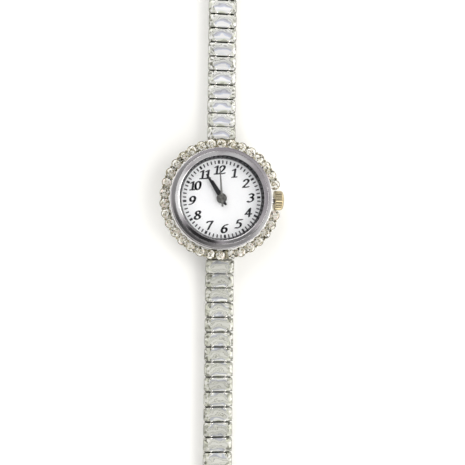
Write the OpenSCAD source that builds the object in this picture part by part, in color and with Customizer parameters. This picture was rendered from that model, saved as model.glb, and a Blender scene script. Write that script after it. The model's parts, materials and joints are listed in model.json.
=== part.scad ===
// Bracelet wristwatch: a round quartz watch in a ring of cut stones, on a bracelet of
// rectangular crystals in hinged settings.
// The origin is the centre of the case back's outer face. +Z points up through the dial,
// +X to the crown at three o'clock and +Y to twelve o'clock.

/* [Case] */
// Diameter of the bezel
bezel_d = 22.6; // [22:0.1:26]
// Diameter of the dial that shows inside the bezel
dial_view_d = 17.6; // [16.8:0.1:18.4]
// Thickness of the case back
back_t = 0.6; // [0.5:0.05:0.9]
// Height of the room for the movement, from the case back to the dial
movement_h = 4.2; // [4.1:0.05:5]
// Thickness of the dial
dial_t = 0.35; // [0.25:0.05:0.5]
// Height of the room for the hands, from the dial to the lens
hand_room = 1.35; // [1.25:0.05:1.8]
// Thickness of the lens
lens_t = 0.5; // [0.4:0.05:1.2]
// Height of the thin flange at the foot of the bezel
flange_t = 0.3; // [0.2:0.05:0.5]
// Height of the bezel's lip above the lens
lip_h = 0.35; // [0.2:0.05:0.5]
// How far the bezel's inner band reaches in over the lens
lip_w = 0.1; // [0:0.05:0.25]
// Share of the ring outside the lens's seat that the bezel's inner band takes
inner_share = 0.39; // [0.3:0.01:0.5]
// Step from the bezel's inner band down to its outer one
band_drop = 0.28; // [0.1:0.02:0.4]
// Width of the groove between the bezel's two bands
groove_w = 0.08; // [0.04:0.02:0.16]
// Thickness of the walls that the case back and the movement fit with
rim_t = 0.5; // [0.4:0.05:0.7]
// Diameter of the section of the back gasket
gasket_d = 0.36; // [0.3:0.02:0.44]

/* [Stone ring] */
// Diameter of a round stone
stone_d = 2.05; // [1.6:0.05:2.3]
// Wall of a round cup
cup_wall = 0.11; // [0.1:0.01:0.2]
// Gap between neighbouring cups
cup_gap = 0.04; // [0.03:0.01:0.2]
// Gap between the case body and the cups
ring_gap = 0.27; // [0.1:0.01:0.4]
// Height of the ring's foot above the face that the watch rests on
ring_z = 2.95; // [2.9:0.05:3.1]
// Diameter of a prong between two cups
prong_d = 0.5; // [0.46:0.02:0.62]

/* [Crown] */
// Diameter of the crown
crown_d = 4.4; // [3.6:0.1:4.8]
// Length of the crown
crown_l = 2.2; // [1.8:0.1:3]
// Number of flutes round the crown
crown_flutes = 24; // [18:2:30]
// Diameter of the stem
stem_d = 0.8; // [0.7:0.05:0.9]
// Outer diameter of the tube that the stem passes through
tube_d = 1.9; // [1.7:0.05:2.2]
// Gap between the crown and the stones beside it
crown_gap = 0.08; // [0.04:0.02:0.3]
// How far the crown pulls out to set the hands
crown_travel = 1.0; // [0.6:0.1:1.2]

/* [Hands] */
// Length of the hour hand from its axis
hour_l = 4.5; // [3.5:0.1:5.5]
// Length of the minute hand from its axis
minute_l = 6.3; // [5.5:0.1:7.4]
// Length of the seconds hand from its axis
seconds_l = 6.6; // [5.5:0.1:7.6]
// Hour hand's angle from twelve o'clock, anticlockwise
hour_at = 28.9; // [0:0.1:360]
// Minute hand's angle from twelve o'clock, anticlockwise
minute_at = 33.3; // [0:0.1:360]
// Seconds hand's angle from twelve o'clock, anticlockwise
seconds_at = 4.4; // [0:0.1:360]
// Diameter of the hour hand's boss
hub_d = 2.3; // [2:0.05:2.8]
// Thickness of a hand
hand_t = 0.14; // [0.1:0.01:0.18]

/* [Wheels] */
// Module of the motion work's teeth
motion_m = 0.11; // [0.1:0.005:0.12]
// Module of the going train's teeth
train_m = 0.1; // [0.095:0.001:0.104]
// Thickness of a wheel
wheel_t = 0.15; // [0.1:0.01:0.2]
// Diameter of an arbor
arbor_d = 0.3; // [0.26:0.01:0.32]

/* [Battery and circuit] */
// Diameter of the button cell
battery_d = 5.8; // [5.2:0.1:5.9]
// Height of the button cell
battery_h = 1.9; // [1.6:0.05:2]
// Length of the coil's winding
coil_l = 5.6; // [4.5:0.1:6.4]
// Diameter of the coil's winding
coil_d = 1.5; // [1.2:0.05:1.7]
// Thickness of the circuit board
board_t = 0.3; // [0.2:0.05:0.4]

/* [Bracelet] */
// Distance from one hinge of the bracelet to the next
pitch = 3.3; // [3.1:0.02:3.6]
// Width of a rectangular setting
link_w = 6.4; // [5.6:0.1:7]
// Height of a setting's rim above its foot
rim_z = 2.0; // [1.9:0.05:2.4]
// Gap between the rims of two settings
rim_gap = 0.3; // [0.2:0.02:0.4]
// Gap between the feet of two settings
foot_gap = 0.16; // [0.14:0.02:0.24]
// Wall of a rectangular setting
setting_wall = 0.2; // [0.18:0.01:0.3]
// Height of a hinge's axis above the foot of a setting
hinge_z = 0.55; // [0.52:0.01:0.62]
// Outer diameter of a hinge knuckle
knuckle_d = 0.9; // [0.8:0.02:0.96]
// Diameter of a hinge pin
pin_d = 0.44; // [0.36:0.02:0.5]
// Height of a crystal's crown above the rim of its setting
crystal_h = 0.55; // [0.4:0.05:0.8]
// Slope of the link next to the case
first_slope = 10; // [8:1:12]
// Slope of the second link from the case
second_slope = 4; // [3:1:5]

/* [Clasp] */
// Length of the ladder's strip beyond its hinge block
ladder_l = 16.0; // [12:0.5:22]
// Width of the ladder's strip
ladder_w = 4.4; // [4:0.1:4.8]
// Thickness of the ladder's strip
ladder_t = 0.7; // [0.5:0.05:0.8]
// Distance from one window of the ladder to the next
window_pitch = 2.6; // [2.2:0.1:3]
// Length of the clasp's base
clasp_l = 15.0; // [12:0.5:18]
// Thickness of the clasp's sheet metal
sheet_t = 0.4; // [0.35:0.05:0.5]
// Height of the channel that the ladder lies in
channel_h = 1.2; // [1:0.05:1.5]

/* [Hidden] */
$fn = 48;
// Clearance of a running fit, on the radius
fit = 0.05;
// Play of a stone in its seat, on each side
slack = 0.02;

// Links on each side of the case, counted from the case outwards
UPPER = 13;
LOWER = 15;
function link_name(side, i) = str(side, "_link_", i < 10 ? "0" : "", i);

// Heights of the case, from the back up
z_movement = back_t + 0.7;
z_dial = back_t + movement_h;
z_face = z_dial + dial_t;
z_lens = z_face + hand_room;
z_top = z_lens + lens_t;
z_lip = z_top + lip_h;
case_z0 = 0.25;
snap_h = 0.35;

// Radii of the case, from the dial outwards
view_r = dial_view_d / 2;
chamber_r = view_r + 0.35;
plate_r = chamber_r - fit;
lens_r = view_r + 0.6;
seat_r = lens_r + 0.2;
bezel_r = bezel_d / 2;
case_r = bezel_r - 0.15;
flange_r = chamber_r + 1.25;

// Ring of stones: the places that the crown covers stay empty
stone_r = stone_d / 2;
cup_r = stone_r + cup_wall;
ring_r = case_r + ring_gap + cup_r;
ring_places = 2 * floor(PI / asin_rad((cup_r + cup_gap / 2) / ring_r) / 2);
place_step = 360 / ring_places;
girdle_z = ring_z + 1.0;
crown_clear = asin((crown_d / 2 + cup_r + crown_gap) / ring_r);
places = [for (i = [0 : ring_places - 1]) if (abs(place_angle(i) - 180) < 180 - crown_clear) i];
function asin_rad(x) = asin(x) * PI / 180;
function place_angle(i) = (i + 0.5) * place_step;

// Levels of the movement, from its plate down and up
plate_t = 1.2;
z_plate = z_dial - plate_t;
z_stem = z_plate - stem_d / 2 - 0.1;
level = 0.35;
z_centre_wheel = z_plate - 0.25 - wheel_t;
z_third_wheel = z_centre_wheel - 0.2 - level;
z_seconds_wheel = z_third_wheel - level;
z_step_wheel = z_seconds_wheel - level;
z_bridge = z_step_wheel - 0.1;
bridge_t = 0.35;
z_hour_wheel = z_dial - 0.15 - wheel_t;
z_minute_wheel = z_hour_wheel - 0.1 - 0.2;
arbor_r = arbor_d / 2;
cannon_in_r = arbor_r + fit;
cannon_r = cannon_in_r + 0.22;
pipe_in_r = cannon_r + fit;
pipe_r = pipe_in_r + 0.25;

// Counts of teeth, and the distances and places of the wheels that follow from them
cannon_teeth = 10;
minute_teeth = 30;
minute_leaves = 8;
hour_teeth = 32;
seconds_leaves = 6;
third_teeth = 45;
third_leaves = 6;
centre_teeth = 48;
step_leaves = 8;
seconds_teeth = 40;
rotor_leaves = 6;
step_teeth = 36;
// The centre wheel's teeth are finer, so that both meshes have the same distance
centre_m = train_m * (seconds_leaves + third_teeth) / (third_leaves + centre_teeth);
step_m = train_m * 1.1;
motion_gap = motion_m * (cannon_teeth + minute_teeth) / 2;
third_gap = train_m * (seconds_leaves + third_teeth) / 2;
step_gap = step_m * (step_leaves + seconds_teeth) / 2;
rotor_gap = train_m * (rotor_leaves + step_teeth) / 2;
minute_dir = -45;
third_dir = -60;
step_dir = 110;
rotor_dir = 50;
function polar(r, a) = [r * cos(a), r * sin(a)];
minute_xy = polar(motion_gap, minute_dir);
third_xy = polar(third_gap, third_dir);
step_xy = polar(step_gap, step_dir);
rotor_xy = step_xy + polar(rotor_gap, rotor_dir);
pillar_r = 0.75;
bridge_inset = 0.55;
bridge_ends = [for (a = [third_dir + 5, step_dir + 25])
    polar(plate_r - rim_t - pillar_r - bridge_inset, a)];
third_tip_r = train_m * (third_teeth / 2 + 0.75);
// The coil lies as far out as the movement's rim lets the corners of its core
core_l = coil_l + 1.6;
core_w = 0.8;
core_inset = 0.44;
core_reach = plate_r - rim_t - core_inset;
coil_y = sqrt(pow(core_reach, 2) - pow(core_l / 2 + abs(rotor_xy[0]), 2)) - core_w / 2;
coil_dy = coil_y - rotor_xy[1];
z_coil = z_plate - coil_d / 2 - 0.05;
battery_xy = polar(plate_r - rim_t - battery_d / 2 - 0.05, 200);

// Hands: each sits on its own pipe, one above the other
z_hour_hand = z_face + 0.25;
z_minute_hand = z_hour_hand + hand_t + 0.24;
z_seconds_hand = z_minute_hand + hand_t + 0.2;

// Crown and stem
tube_x = bezel_r + 0.55;
crown_x = tube_x + 0.1;
square_s = stem_d * 0.6;
square_x = view_r - 1.8;
pinion_l = 1.3;
stem_x0 = square_x - pinion_l - crown_travel - 0.3;
pinion_x = stem_x0 + 0.6;

// Bracelet: a link's own frame starts at the hinge that is nearer to the case
foot_w = link_w - 0.8;
setting_l = pitch - rim_gap;
flare_z0 = hinge_z + knuckle_d / 2 + 0.05;
flare_z1 = flare_z0 + 0.45;
pin_r = pin_d / 2;
eye_bore_r = pin_r + fit;
knuckle_r = knuckle_d / 2;
relief_r = knuckle_r + fit;
eye_in = 0.6;
eye_out = link_w / 2 - 1.3;
ear_out = foot_w / 2 - 0.1;
crystal_w = link_w - 2 * setting_wall - 2 * slack;
crystal_l = setting_l - 2 * setting_wall - 2 * slack;
crystal_cut = 0.55;
girdle_rest = rim_z - 0.3;
pavilion_h = 0.85;
waist_at = 0.6;
waist_in = [0.1 * crystal_w, 0.18 * crystal_l];
corner_r = 0.2;
corner_rise = 0.35;
lug_inset = 0.45;
lug_y = ring_r + cup_r - lug_inset;
lug_z = hinge_z + pitch * (sin(first_slope) + sin(second_slope));
function slope(i) = i == 1 ? first_slope : i == 2 ? second_slope : 0;
function hinge_y(i) = i == 1 ? lug_y : hinge_y(i - 1) + pitch * cos(slope(i - 1));
function hinge_h(i) = i == 1 ? lug_z : hinge_h(i - 1) - pitch * sin(slope(i - 1));

// Clasp
block_l = 2.2;
strip_z0 = 0.15;
clasp_w = link_w - 0.4;
cover_z = sheet_t + channel_h + 0.1;
clasp_pin_r = 0.3;
clasp_pin_z = cover_z - 0.35;
clasp_knuckle_r = cover_z + sheet_t - clasp_pin_z;

SILVER = [0.80, 0.80, 0.81];
STEEL = [0.66, 0.67, 0.69];
BRASS = [0.80, 0.68, 0.42];
CHAMPAGNE = [0.93, 0.89, 0.76];
CRYSTAL = [0.90, 0.94, 0.97];
DARK = [0.13, 0.13, 0.14];

// Points over a band from its outer edge to its inner one, heights in proportion with a low dome added
function domed(r_in, z_in, r_out, z_out, dome, n = 8) =
    [for (i = [0 : n]) let (t = cos(180 * i / n))
        [(r_in + r_out + (r_out - r_in) * t) / 2, (z_in + z_out + (z_out - z_in) * t) / 2 + dome * (1 - t * t)]];

// A flat ring
module ring(outer, inner, h) {
    difference() {
        cylinder(r = outer, h = h);
        translate([0, 0, -1]) cylinder(r = inner, h = h + 2);
    }
}

// A cylinder that lies along X, centred on x = 0
module bar_x(r, l) {
    rotate([0, 90, 0]) cylinder(r = r, h = l, center = true);
}

// A rectangle with round corners
module rounded(w, l, r) {
    square([w - 2 * r, l], center = true);
    square([w, l - 2 * r], center = true);
    for (x = [-1, 1], y = [-1, 1]) translate([x * (w / 2 - r), y * (l / 2 - r)]) circle(r = r, $fn = 32);
}

// Outline of a wheel or pinion, with one tooth centred on the angle phase
module teeth(n, m, phase) {
    r = n * m / 2;
    step = 360 / n;
    shape = [[-0.30, -1.15], [-0.13, 0.75], [0.13, 0.75], [0.30, -1.15]];
    polygon([for (i = [0 : n - 1], p = shape) polar(r + p[1] * m, phase + (i + p[0]) * step)]);
}

module wheel(n, m, phase, t, hole_r) {
    linear_extrude(t) difference() {
        teeth(n, m, phase);
        circle(r = hole_r, $fn = 32);
    }
}

// A closed solid lofted through rings of points that all have the same count
module loft(rings) {
    n = len(rings[0]);
    last = len(rings) - 1;
    polyhedron(
        points = [for (r = rings, p = r) p],
        faces = concat(
            [[for (i = [0 : n - 1]) i]],
            [for (k = [0 : last - 1], i = [0 : n - 1])
                [k * n + i, (k + 1) * n + i, (k + 1) * n + (i + 1) % n, k * n + (i + 1) % n]],
            [[for (i = [n - 1 : -1 : 0]) last * n + i]]));
}

// A round brilliant: small culet, girdle and flat table, eight-fold
module brilliant(r) {
    ring_at = function (rr, z, a) [for (i = [0 : 7]) concat(polar(rr, a + i * 45), [z])];
    loft([
        ring_at(0.08 * r, -0.72 * r, 0),
        ring_at(r, -0.04 * r, 0),
        ring_at(r, 0.04 * r, 0),
        ring_at(0.82 * r, 0.2 * r, 0),
        ring_at(0.56 * r, 0.34 * r, 0)]);
}

// A rectangular step-cut crystal: its girdle lies at z = 0
module step_cut(w, l, cut, up, down) {
    girdle_t = 0.12;
    ring_at = function (dx, dy, c, z) let (x = w / 2 - dx, y = l / 2 - dy) [
        [x, -y + c, z], [x, y - c, z], [x - c, y, z], [-x + c, y, z],
        [-x, y - c, z], [-x, -y + c, z], [-x + c, -y, z], [x - c, -y, z]];
    loft([
        ring_at(w * 0.28, l * 0.42, cut * 0.2, -down),
        ring_at(waist_in[0], waist_in[1], cut * 0.6, -down * waist_at),
        ring_at(0, 0, cut, 0),
        ring_at(0, 0, cut, girdle_t),
        ring_at(w * 0.045, l * 0.11, cut * 0.8, up * 0.55),
        ring_at(w * 0.11, l * 0.24, cut * 0.6, up)]);
}

// Case body: turned barrel with the crown tube and the hinge lugs of the bracelet
module case_body() {
    edge = 0.6;
    color(SILVER) difference() {
        union() {
            rotate_extrude() polygon([
                [chamber_r, case_z0], [case_r - edge, case_z0], [case_r, case_z0 + edge],
                [case_r, z_face], [chamber_r, z_face]]);
            translate([chamber_r + 0.4, 0, z_stem]) rotate([0, 90, 0])
                cylinder(d = tube_d, h = tube_x - chamber_r - 0.4);
            for (turn = [0, 180]) rotate([0, 0, turn]) lug();
        }
        translate([0, 0, case_z0 - 1]) cylinder(r = flange_r + fit, h = back_t + fit - case_z0 + 1);
        translate([0, 0, back_t])
            cylinder(r = chamber_r + gasket_d + 0.1, h = gasket_d + fit + 0.04);
        translate([chamber_r - 1, 0, z_stem]) rotate([0, 90, 0])
            cylinder(d = stem_d + 2 * fit, h = bezel_r);
        spigot(fit);
    }
}

// Two hinge eyes on an arm that is soldered under the ring of stones
module lug() {
    arm_t = 0.6;
    for (x = [-1, 1]) translate([x * (eye_in + eye_out) / 2, 0, 0]) difference() {
        union() {
            translate([0, lug_y, lug_z]) bar_x(knuckle_r, eye_out - eye_in);
            translate([-(eye_out - eye_in) / 2, case_r - 0.5, lug_z - arm_t / 2])
                cube([eye_out - eye_in, lug_y - case_r + 0.5, arm_t]);
        }
        translate([0, lug_y, lug_z]) bar_x(eye_bore_r, link_w);
    }
}

// Ring under the bezel that snaps into the case body's top
module spigot(grow) {
    spigot_r = (chamber_r + case_r) / 2;
    translate([0, 0, z_face - snap_h - grow])
        ring(spigot_r + 0.25 + grow, spigot_r - 0.25 - grow, snap_h + 2 * grow);
}

// Case back: flanged lid with a rim that snaps into the case, and a notch to pry it off
module case_back() {
    color(STEEL) difference() {
        rotate_extrude() polygon([
            [0, 0], [flange_r - 0.25, 0], [flange_r, 0.25], [flange_r, back_t],
            [plate_r, back_t], [plate_r, z_movement], [plate_r - rim_t, z_movement],
            [plate_r - rim_t, back_t], [0, back_t]]);
        rotate([0, 0, 250]) translate([flange_r - 0.5, -0.9, -1]) cube([2, 1.8, 1.35]);
    }
}

// O-ring between the case back's flange and the case body
module back_gasket() {
    color(DARK) rotate_extrude()
        translate([chamber_r + gasket_d / 2 + 0.04, back_t + gasket_d / 2 + 0.02])
            circle(d = gasket_d, $fn = 24);
}

// Bezel: polished ring with a thin flange, two rounded bands and an inner wall down to the dial
module bezel() {
    edge = 0.16;
    play = 0.02;
    lip_t = 0.08;
    dome = 0.09;
    foot_z = z_face + flange_t;
    outer_z = z_lip - band_drop - dome;
    groove_r = seat_r + (bezel_r - edge - seat_r) * inner_share;
    lip_r = lens_r - lip_w;
    color(SILVER) union() {
        rotate_extrude() polygon(concat(
            [[view_r, z_face], [bezel_r, z_face], [bezel_r, foot_z - 0.08], [bezel_r - 0.08, foot_z]],
            [[bezel_r - edge, foot_z]],
            domed(groove_r + groove_w / 2, outer_z, bezel_r - edge, outer_z - dome, dome),
            [[groove_r, outer_z - 2 * groove_w]],
            domed(lip_r, z_top + lip_t, groove_r - groove_w / 2, z_lip - dome / 2, dome / 2),
            [[lip_r, z_top + play], [seat_r, z_top + play], [seat_r, z_lens]],
            [[lens_r - 0.15, z_lens], [view_r, z_face + 0.1]]));
        spigot(0);
    }
}

// Lens: flat mineral glass with a bevelled upper edge
module crystal_lens() {
    bevel = 0.12;
    color(CRYSTAL, 0.3) rotate_extrude() polygon([
        [0, z_lens], [lens_r, z_lens], [lens_r, z_top - bevel], [lens_r - bevel, z_top], [0, z_top]]);
}

// Ring that holds and seals the lens in the bezel
module lens_gasket() {
    color(DARK) translate([0, 0, z_lens]) ring(seat_r, lens_r, lens_t - 0.15);
}

// One round cup of the ring, with a conical seat for its stone
module round_cup() {
    rim = girdle_z + 0.1;
    difference() {
        union() {
            translate([0, 0, ring_z]) cylinder(r1 = cup_r - 0.3, r2 = cup_r, h = 0.7, $fn = 32);
            translate([0, 0, ring_z + 0.7]) cylinder(r = cup_r, h = rim - ring_z - 0.7, $fn = 32);
        }
        translate([0, 0, girdle_z - 0.72 * stone_r - 0.05])
            cylinder(r1 = 0.2, r2 = stone_r + slack, h = 0.68 * stone_r, $fn = 32);
        translate([0, 0, girdle_z - 0.04 * stone_r - 0.06]) cylinder(r = stone_r + slack, h = 1, $fn = 32);
    }
}

// Chain of cups, joined by a band at the foot and by the prongs between the cups
module ring_settings() {
    prong_r = prong_d / 2;
    step_half = place_step / 2;
    half_chord = ring_r * sin(step_half);
    prong_off = sqrt(pow(cup_r + prong_r - 0.06, 2) - pow(half_chord, 2));
    first = place_angle(places[0]);
    last = place_angle(places[len(places) - 1]);
    color(SILVER) {
        rotate([0, 0, first - step_half]) rotate_extrude(angle = last - first + place_step)
            translate([case_r, ring_z]) square([ring_r - case_r, 0.3]);
        for (i = places) rotate([0, 0, place_angle(i)]) translate([ring_r, 0, 0]) round_cup();
        for (i = [0 : len(places) - 2], side = [-1, 1])
            rotate([0, 0, place_angle(places[i]) + step_half])
                translate([ring_r * cos(step_half) + side * prong_off, 0, ring_z + 0.1])
                    prong(prong_r, girdle_z + 0.2 - ring_z);
    }
}

// A prong with a tapered head
module prong(r, h) {
    cylinder(r = r, h = h - r * 0.5, $fn = 24);
    translate([0, 0, h - r * 0.5]) cylinder(r1 = r, r2 = r * 0.5, h = r * 0.5, $fn = 24);
}

module ring_stones() {
    color(CHAMPAGNE) for (i = places)
        rotate([0, 0, place_angle(i)]) translate([ring_r, 0, girdle_z]) brilliant(stone_r);
}

// Dial: plain disc on the movement, pressed up against the bezel's inner wall
module dial() {
    color("white") translate([0, 0, z_dial]) ring(plate_r, pipe_r + 0.15, dial_t);
}

// Movement plate: carries the wheels' upper pivots, with a rim that stands on the case back
module movement_plate() {
    pocket = 0.15;
    color(STEEL) difference() {
        union() {
            translate([0, 0, z_plate]) cylinder(r = plate_r, h = plate_t);
            translate([0, 0, z_movement]) ring(plate_r, plate_r - rim_t, z_plate - z_movement);
        }
        translate([0, 0, z_plate - 1]) cylinder(r = cannon_r + fit, h = plate_t + 2);
        for (at = [third_xy, step_xy, rotor_xy]) translate([at[0], at[1], z_plate - 1])
            cylinder(r = arbor_r + fit, h = 1.3, $fn = 32);
        translate([0, 0, z_minute_wheel - pocket])
            cylinder(r = motion_m * (cannon_teeth / 2 + 1) + pocket, h = plate_t);
        translate([minute_xy[0], minute_xy[1], z_minute_wheel - pocket])
            cylinder(r = motion_m * (minute_teeth / 2 + 1) + pocket, h = plate_t);
        translate([0, 0, z_hour_wheel - pocket])
            cylinder(r = motion_m * (hour_teeth / 2 + 1) + pocket, h = plate_t);
        translate([pinion_x - 0.3, -1.05, z_movement - 1])
            cube([plate_r, 2.1, z_stem + 1.05 - z_movement + 1]);
    }
    color(STEEL) translate([minute_xy[0], minute_xy[1], z_minute_wheel - pocket - 0.2])
        cylinder(r = arbor_r, h = z_dial - 0.1 - z_minute_wheel + pocket + 0.2, $fn = 32);
}

// Train bridge: arms from pillar to pillar, with a boss round each of the lower pivot holes
module train_bridge() {
    arm_w = 1.1;
    pivots = [[0, 0], third_xy, step_xy, rotor_xy];
    runs = [[bridge_ends[0], third_xy], [third_xy, [0, 0]], [[0, 0], step_xy], [step_xy, bridge_ends[1]],
        [step_xy, rotor_xy]];
    z0 = z_bridge - bridge_t;
    color(BRASS) difference() {
        union() {
            for (r = runs) arm(r[0], r[1], arm_w, z0);
            for (at = pivots) translate([at[0], at[1], z0]) cylinder(r = pillar_r, h = bridge_t);
            for (at = bridge_ends) translate([at[0], at[1], z0])
                cylinder(r = pillar_r, h = z_plate - z0, $fn = 32);
        }
        for (at = pivots) translate([at[0], at[1], z0 - 1])
            cylinder(r = arbor_r + fit, h = bridge_t + 2, $fn = 32);
    }
}

// A straight arm of the bridge, from one point to another
module arm(from, to, w, z) {
    run = to - from;
    translate([from[0], from[1], z]) rotate([0, 0, atan2(run[1], run[0])])
        translate([0, -w / 2, 0]) cube([norm(run), w, bridge_t]);
}

module battery() {
    can_edge = 0.25;
    color(STEEL) translate([battery_xy[0], battery_xy[1], z_plate - battery_h - 0.05]) rotate_extrude()
        polygon([
            [0, 0], [battery_d / 2 - 0.5, 0], [battery_d / 2 - 0.5, 0.2], [battery_d / 2 - can_edge, 0.2],
            [battery_d / 2, 0.2 + can_edge], [battery_d / 2, battery_h], [0, battery_h]]);
}

// Circuit board: segment of a disc with the chip and the quartz can
module circuit_board() {
    pillar = bridge_ends[0];
    pillar_hole_r = pillar_r + 2 * fit;
    board_y = pillar[1] + pillar_hole_r + 0.1;
    chip = [1.6, 1.4, 0.6];
    z0 = z_plate - board_t;
    color("darkgreen") difference() {
        translate([0, 0, z0]) cylinder(r = plate_r - rim_t - fit, h = board_t);
        translate([-plate_r, board_y, z0 - 1]) cube([2 * plate_r, 2 * plate_r, board_t + 2]);
        translate([third_xy[0], third_xy[1], z0 - 1]) cylinder(r = third_tip_r + 0.1, h = board_t + 2);
        translate([pillar[0], pillar[1], z0 - 1]) cylinder(r = pillar_hole_r, h = board_t + 2);
    }
    color(DARK) translate([-chip[0] - 1.2, board_y - chip[1] - 0.9, z0 - chip[2]])
        cube(chip + [0, 0, board_t / 3]);
}

// Coil: winding on a flat core, whose ends lie on the stator's arms
module coil() {
    color(BRASS) translate([rotor_xy[0], coil_y, z_coil]) {
        bar_x(coil_d / 2, coil_l);
        cube([core_l, core_w, 0.3], center = true);
    }
}

// Stator: plate with the rotor's hole and two arms up to the coil's core
module stator() {
    stator_t = 0.35;
    arm_x = (core_l - core_w) / 2;
    color(STEEL) translate([rotor_xy[0], rotor_xy[1], z_coil - 0.15 - stator_t])
        linear_extrude(stator_t) difference() {
            union() {
                circle(r = 1.2);
                translate([-arm_x, -0.45]) square([2 * arm_x, 0.9]);
                for (x = [-arm_x, arm_x]) translate([x - 0.4, -0.45]) square([0.8, coil_dy + 0.45 + core_w / 2]);
            }
            circle(r = 0.75);
        }
}

// An arbor from the bridge's pivot hole to the plate's
module arbor() {
    translate([0, 0, z_bridge - bridge_t + 0.05])
        cylinder(r = arbor_r, h = z_plate - z_bridge + bridge_t + 0.15, $fn = 32);
}

// Rotor: disc magnet and six-leaf pinion
module rotor() {
    color(STEEL) translate([rotor_xy[0], rotor_xy[1], 0]) {
        arbor();
        translate([0, 0, z_step_wheel - 0.05])
            wheel(rotor_leaves, train_m, rotor_dir + 180, wheel_t + 0.15, arbor_r / 2);
        translate([0, 0, z_coil - 0.6]) cylinder(r = 0.6, h = 0.55);
    }
}

module step_wheel() {
    color(BRASS) translate([step_xy[0], step_xy[1], 0]) {
        arbor();
        translate([0, 0, z_step_wheel])
            wheel(step_teeth, train_m, rotor_dir + 180 / step_teeth, wheel_t, arbor_r / 2);
        translate([0, 0, z_step_wheel + wheel_t / 2])
            wheel(step_leaves, step_m, step_dir + 180, level + wheel_t, arbor_r / 2);
    }
}

// Seconds wheel: its long arbor passes up through the cannon pinion to the seconds hand
module seconds_wheel() {
    color(BRASS) {
        translate([0, 0, z_bridge - bridge_t + 0.05])
            cylinder(r = arbor_r, h = z_seconds_hand - z_bridge + bridge_t - 0.05, $fn = 32);
        translate([0, 0, z_seconds_wheel])
            wheel(seconds_teeth, step_m, step_dir + 180 / seconds_teeth, wheel_t, arbor_r / 2);
        translate([0, 0, z_seconds_wheel + wheel_t / 2])
            wheel(seconds_leaves, train_m, third_dir, level + wheel_t, arbor_r / 2);
    }
}

module third_wheel() {
    color(BRASS) translate([third_xy[0], third_xy[1], 0]) {
        arbor();
        translate([0, 0, z_third_wheel])
            wheel(third_teeth, train_m, third_dir + 180 + 180 / third_teeth, wheel_t, arbor_r / 2);
        translate([0, 0, z_third_wheel + wheel_t / 2])
            wheel(third_leaves, centre_m, third_dir + 180,
                z_plate - 0.1 - z_third_wheel - wheel_t / 2, arbor_r / 2);
    }
}

module centre_wheel() {
    color(BRASS) translate([0, 0, z_centre_wheel])
        wheel(centre_teeth, centre_m, third_dir + 180 / centre_teeth, wheel_t, cannon_r + fit / 2);
}

// Cannon pinion: tube that carries the minute hand, held by friction in the centre wheel
module cannon_pinion() {
    foot_z = z_centre_wheel - 0.1;
    color(STEEL) difference() {
        union() {
            translate([0, 0, foot_z]) cylinder(r = cannon_r, h = z_minute_hand + hand_t - foot_z);
            translate([0, 0, z_minute_wheel - 0.05])
                wheel(cannon_teeth, motion_m, minute_dir, wheel_t + 0.1, cannon_r / 2);
        }
        translate([0, 0, foot_z - 1]) cylinder(r = cannon_in_r, h = z_lens);
    }
}

module minute_wheel() {
    color(BRASS) translate([minute_xy[0], minute_xy[1], 0]) {
        translate([0, 0, z_minute_wheel])
            wheel(minute_teeth, motion_m, minute_dir + 180 + 180 / minute_teeth, wheel_t, arbor_r + fit);
        translate([0, 0, z_minute_wheel + wheel_t / 2])
            wheel(minute_leaves, motion_m, minute_dir + 180, z_dial - 0.1 - z_minute_wheel - wheel_t / 2,
                arbor_r + fit);
    }
}

// Hour wheel: its pipe passes up through the dial and carries the hour hand
module hour_wheel() {
    color(BRASS) difference() {
        union() {
            translate([0, 0, z_hour_wheel])
                wheel(hour_teeth, motion_m, minute_dir + 180 / hour_teeth, wheel_t, pipe_in_r);
            translate([0, 0, z_hour_wheel]) cylinder(r = pipe_r, h = z_hour_hand + hand_t - z_hour_wheel);
        }
        translate([0, 0, z_hour_wheel - 1]) cylinder(r = pipe_in_r, h = z_lens);
    }
}

// A hand's blade, which widens from the boss and then runs to a point, with its tail
module blade(l, w, tip_w, tail_l, t) {
    linear_extrude(t) polygon([
        [-w * 0.35, -tail_l], [w * 0.35, -tail_l], [w * 0.35, 0], [w / 2, l * 0.3],
        [tip_w / 2, l], [-tip_w / 2, l], [-w / 2, l * 0.3], [-w * 0.35, 0]]);
}

module hour_hand() {
    color(DARK) translate([0, 0, z_hour_hand]) rotate([0, 0, hour_at]) difference() {
        union() {
            blade(hour_l, 1.0, 0.3, 1.5, hand_t);
            cylinder(d = hub_d, h = hand_t);
        }
        translate([0, 0, -1]) cylinder(r = pipe_r, h = 3);
    }
}

module minute_hand() {
    color(DARK) translate([0, 0, z_minute_hand]) rotate([0, 0, minute_at]) difference() {
        union() {
            blade(minute_l, 0.8, 0.24, 1.7, hand_t);
            cylinder(d = hub_d - 0.3, h = hand_t);
        }
        translate([0, 0, -1]) cylinder(r = cannon_r, h = 3);
    }
}

// Seconds hand: thin needle with a domed cap over the end of its arbor
module seconds_hand() {
    cap_r = 0.62;
    color(STEEL) translate([0, 0, z_seconds_hand]) {
        rotate([0, 0, seconds_at]) blade(seconds_l, 0.2, 0.12, 1.75, hand_t * 0.7);
        cylinder(r1 = cap_r, r2 = cap_r * 0.6, h = hand_t * 1.5);
    }
}

// Sliding pinion: turns with the stem's square, and stays in place when the crown is pulled
module sliding_pinion() {
    bore = square_s + 2 * fit;
    color(STEEL) translate([pinion_x, 0, z_stem]) rotate([0, 90, 0]) difference() {
        union() {
            wheel(12, 0.12, 0, 0.5, 0.1);
            translate([0, 0, 0.3]) cylinder(r = 0.6, h = pinion_l - 0.3);
        }
        translate([-bore / 2, -bore / 2, -1]) cube([bore, bore, pinion_l + 2]);
    }
}

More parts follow.
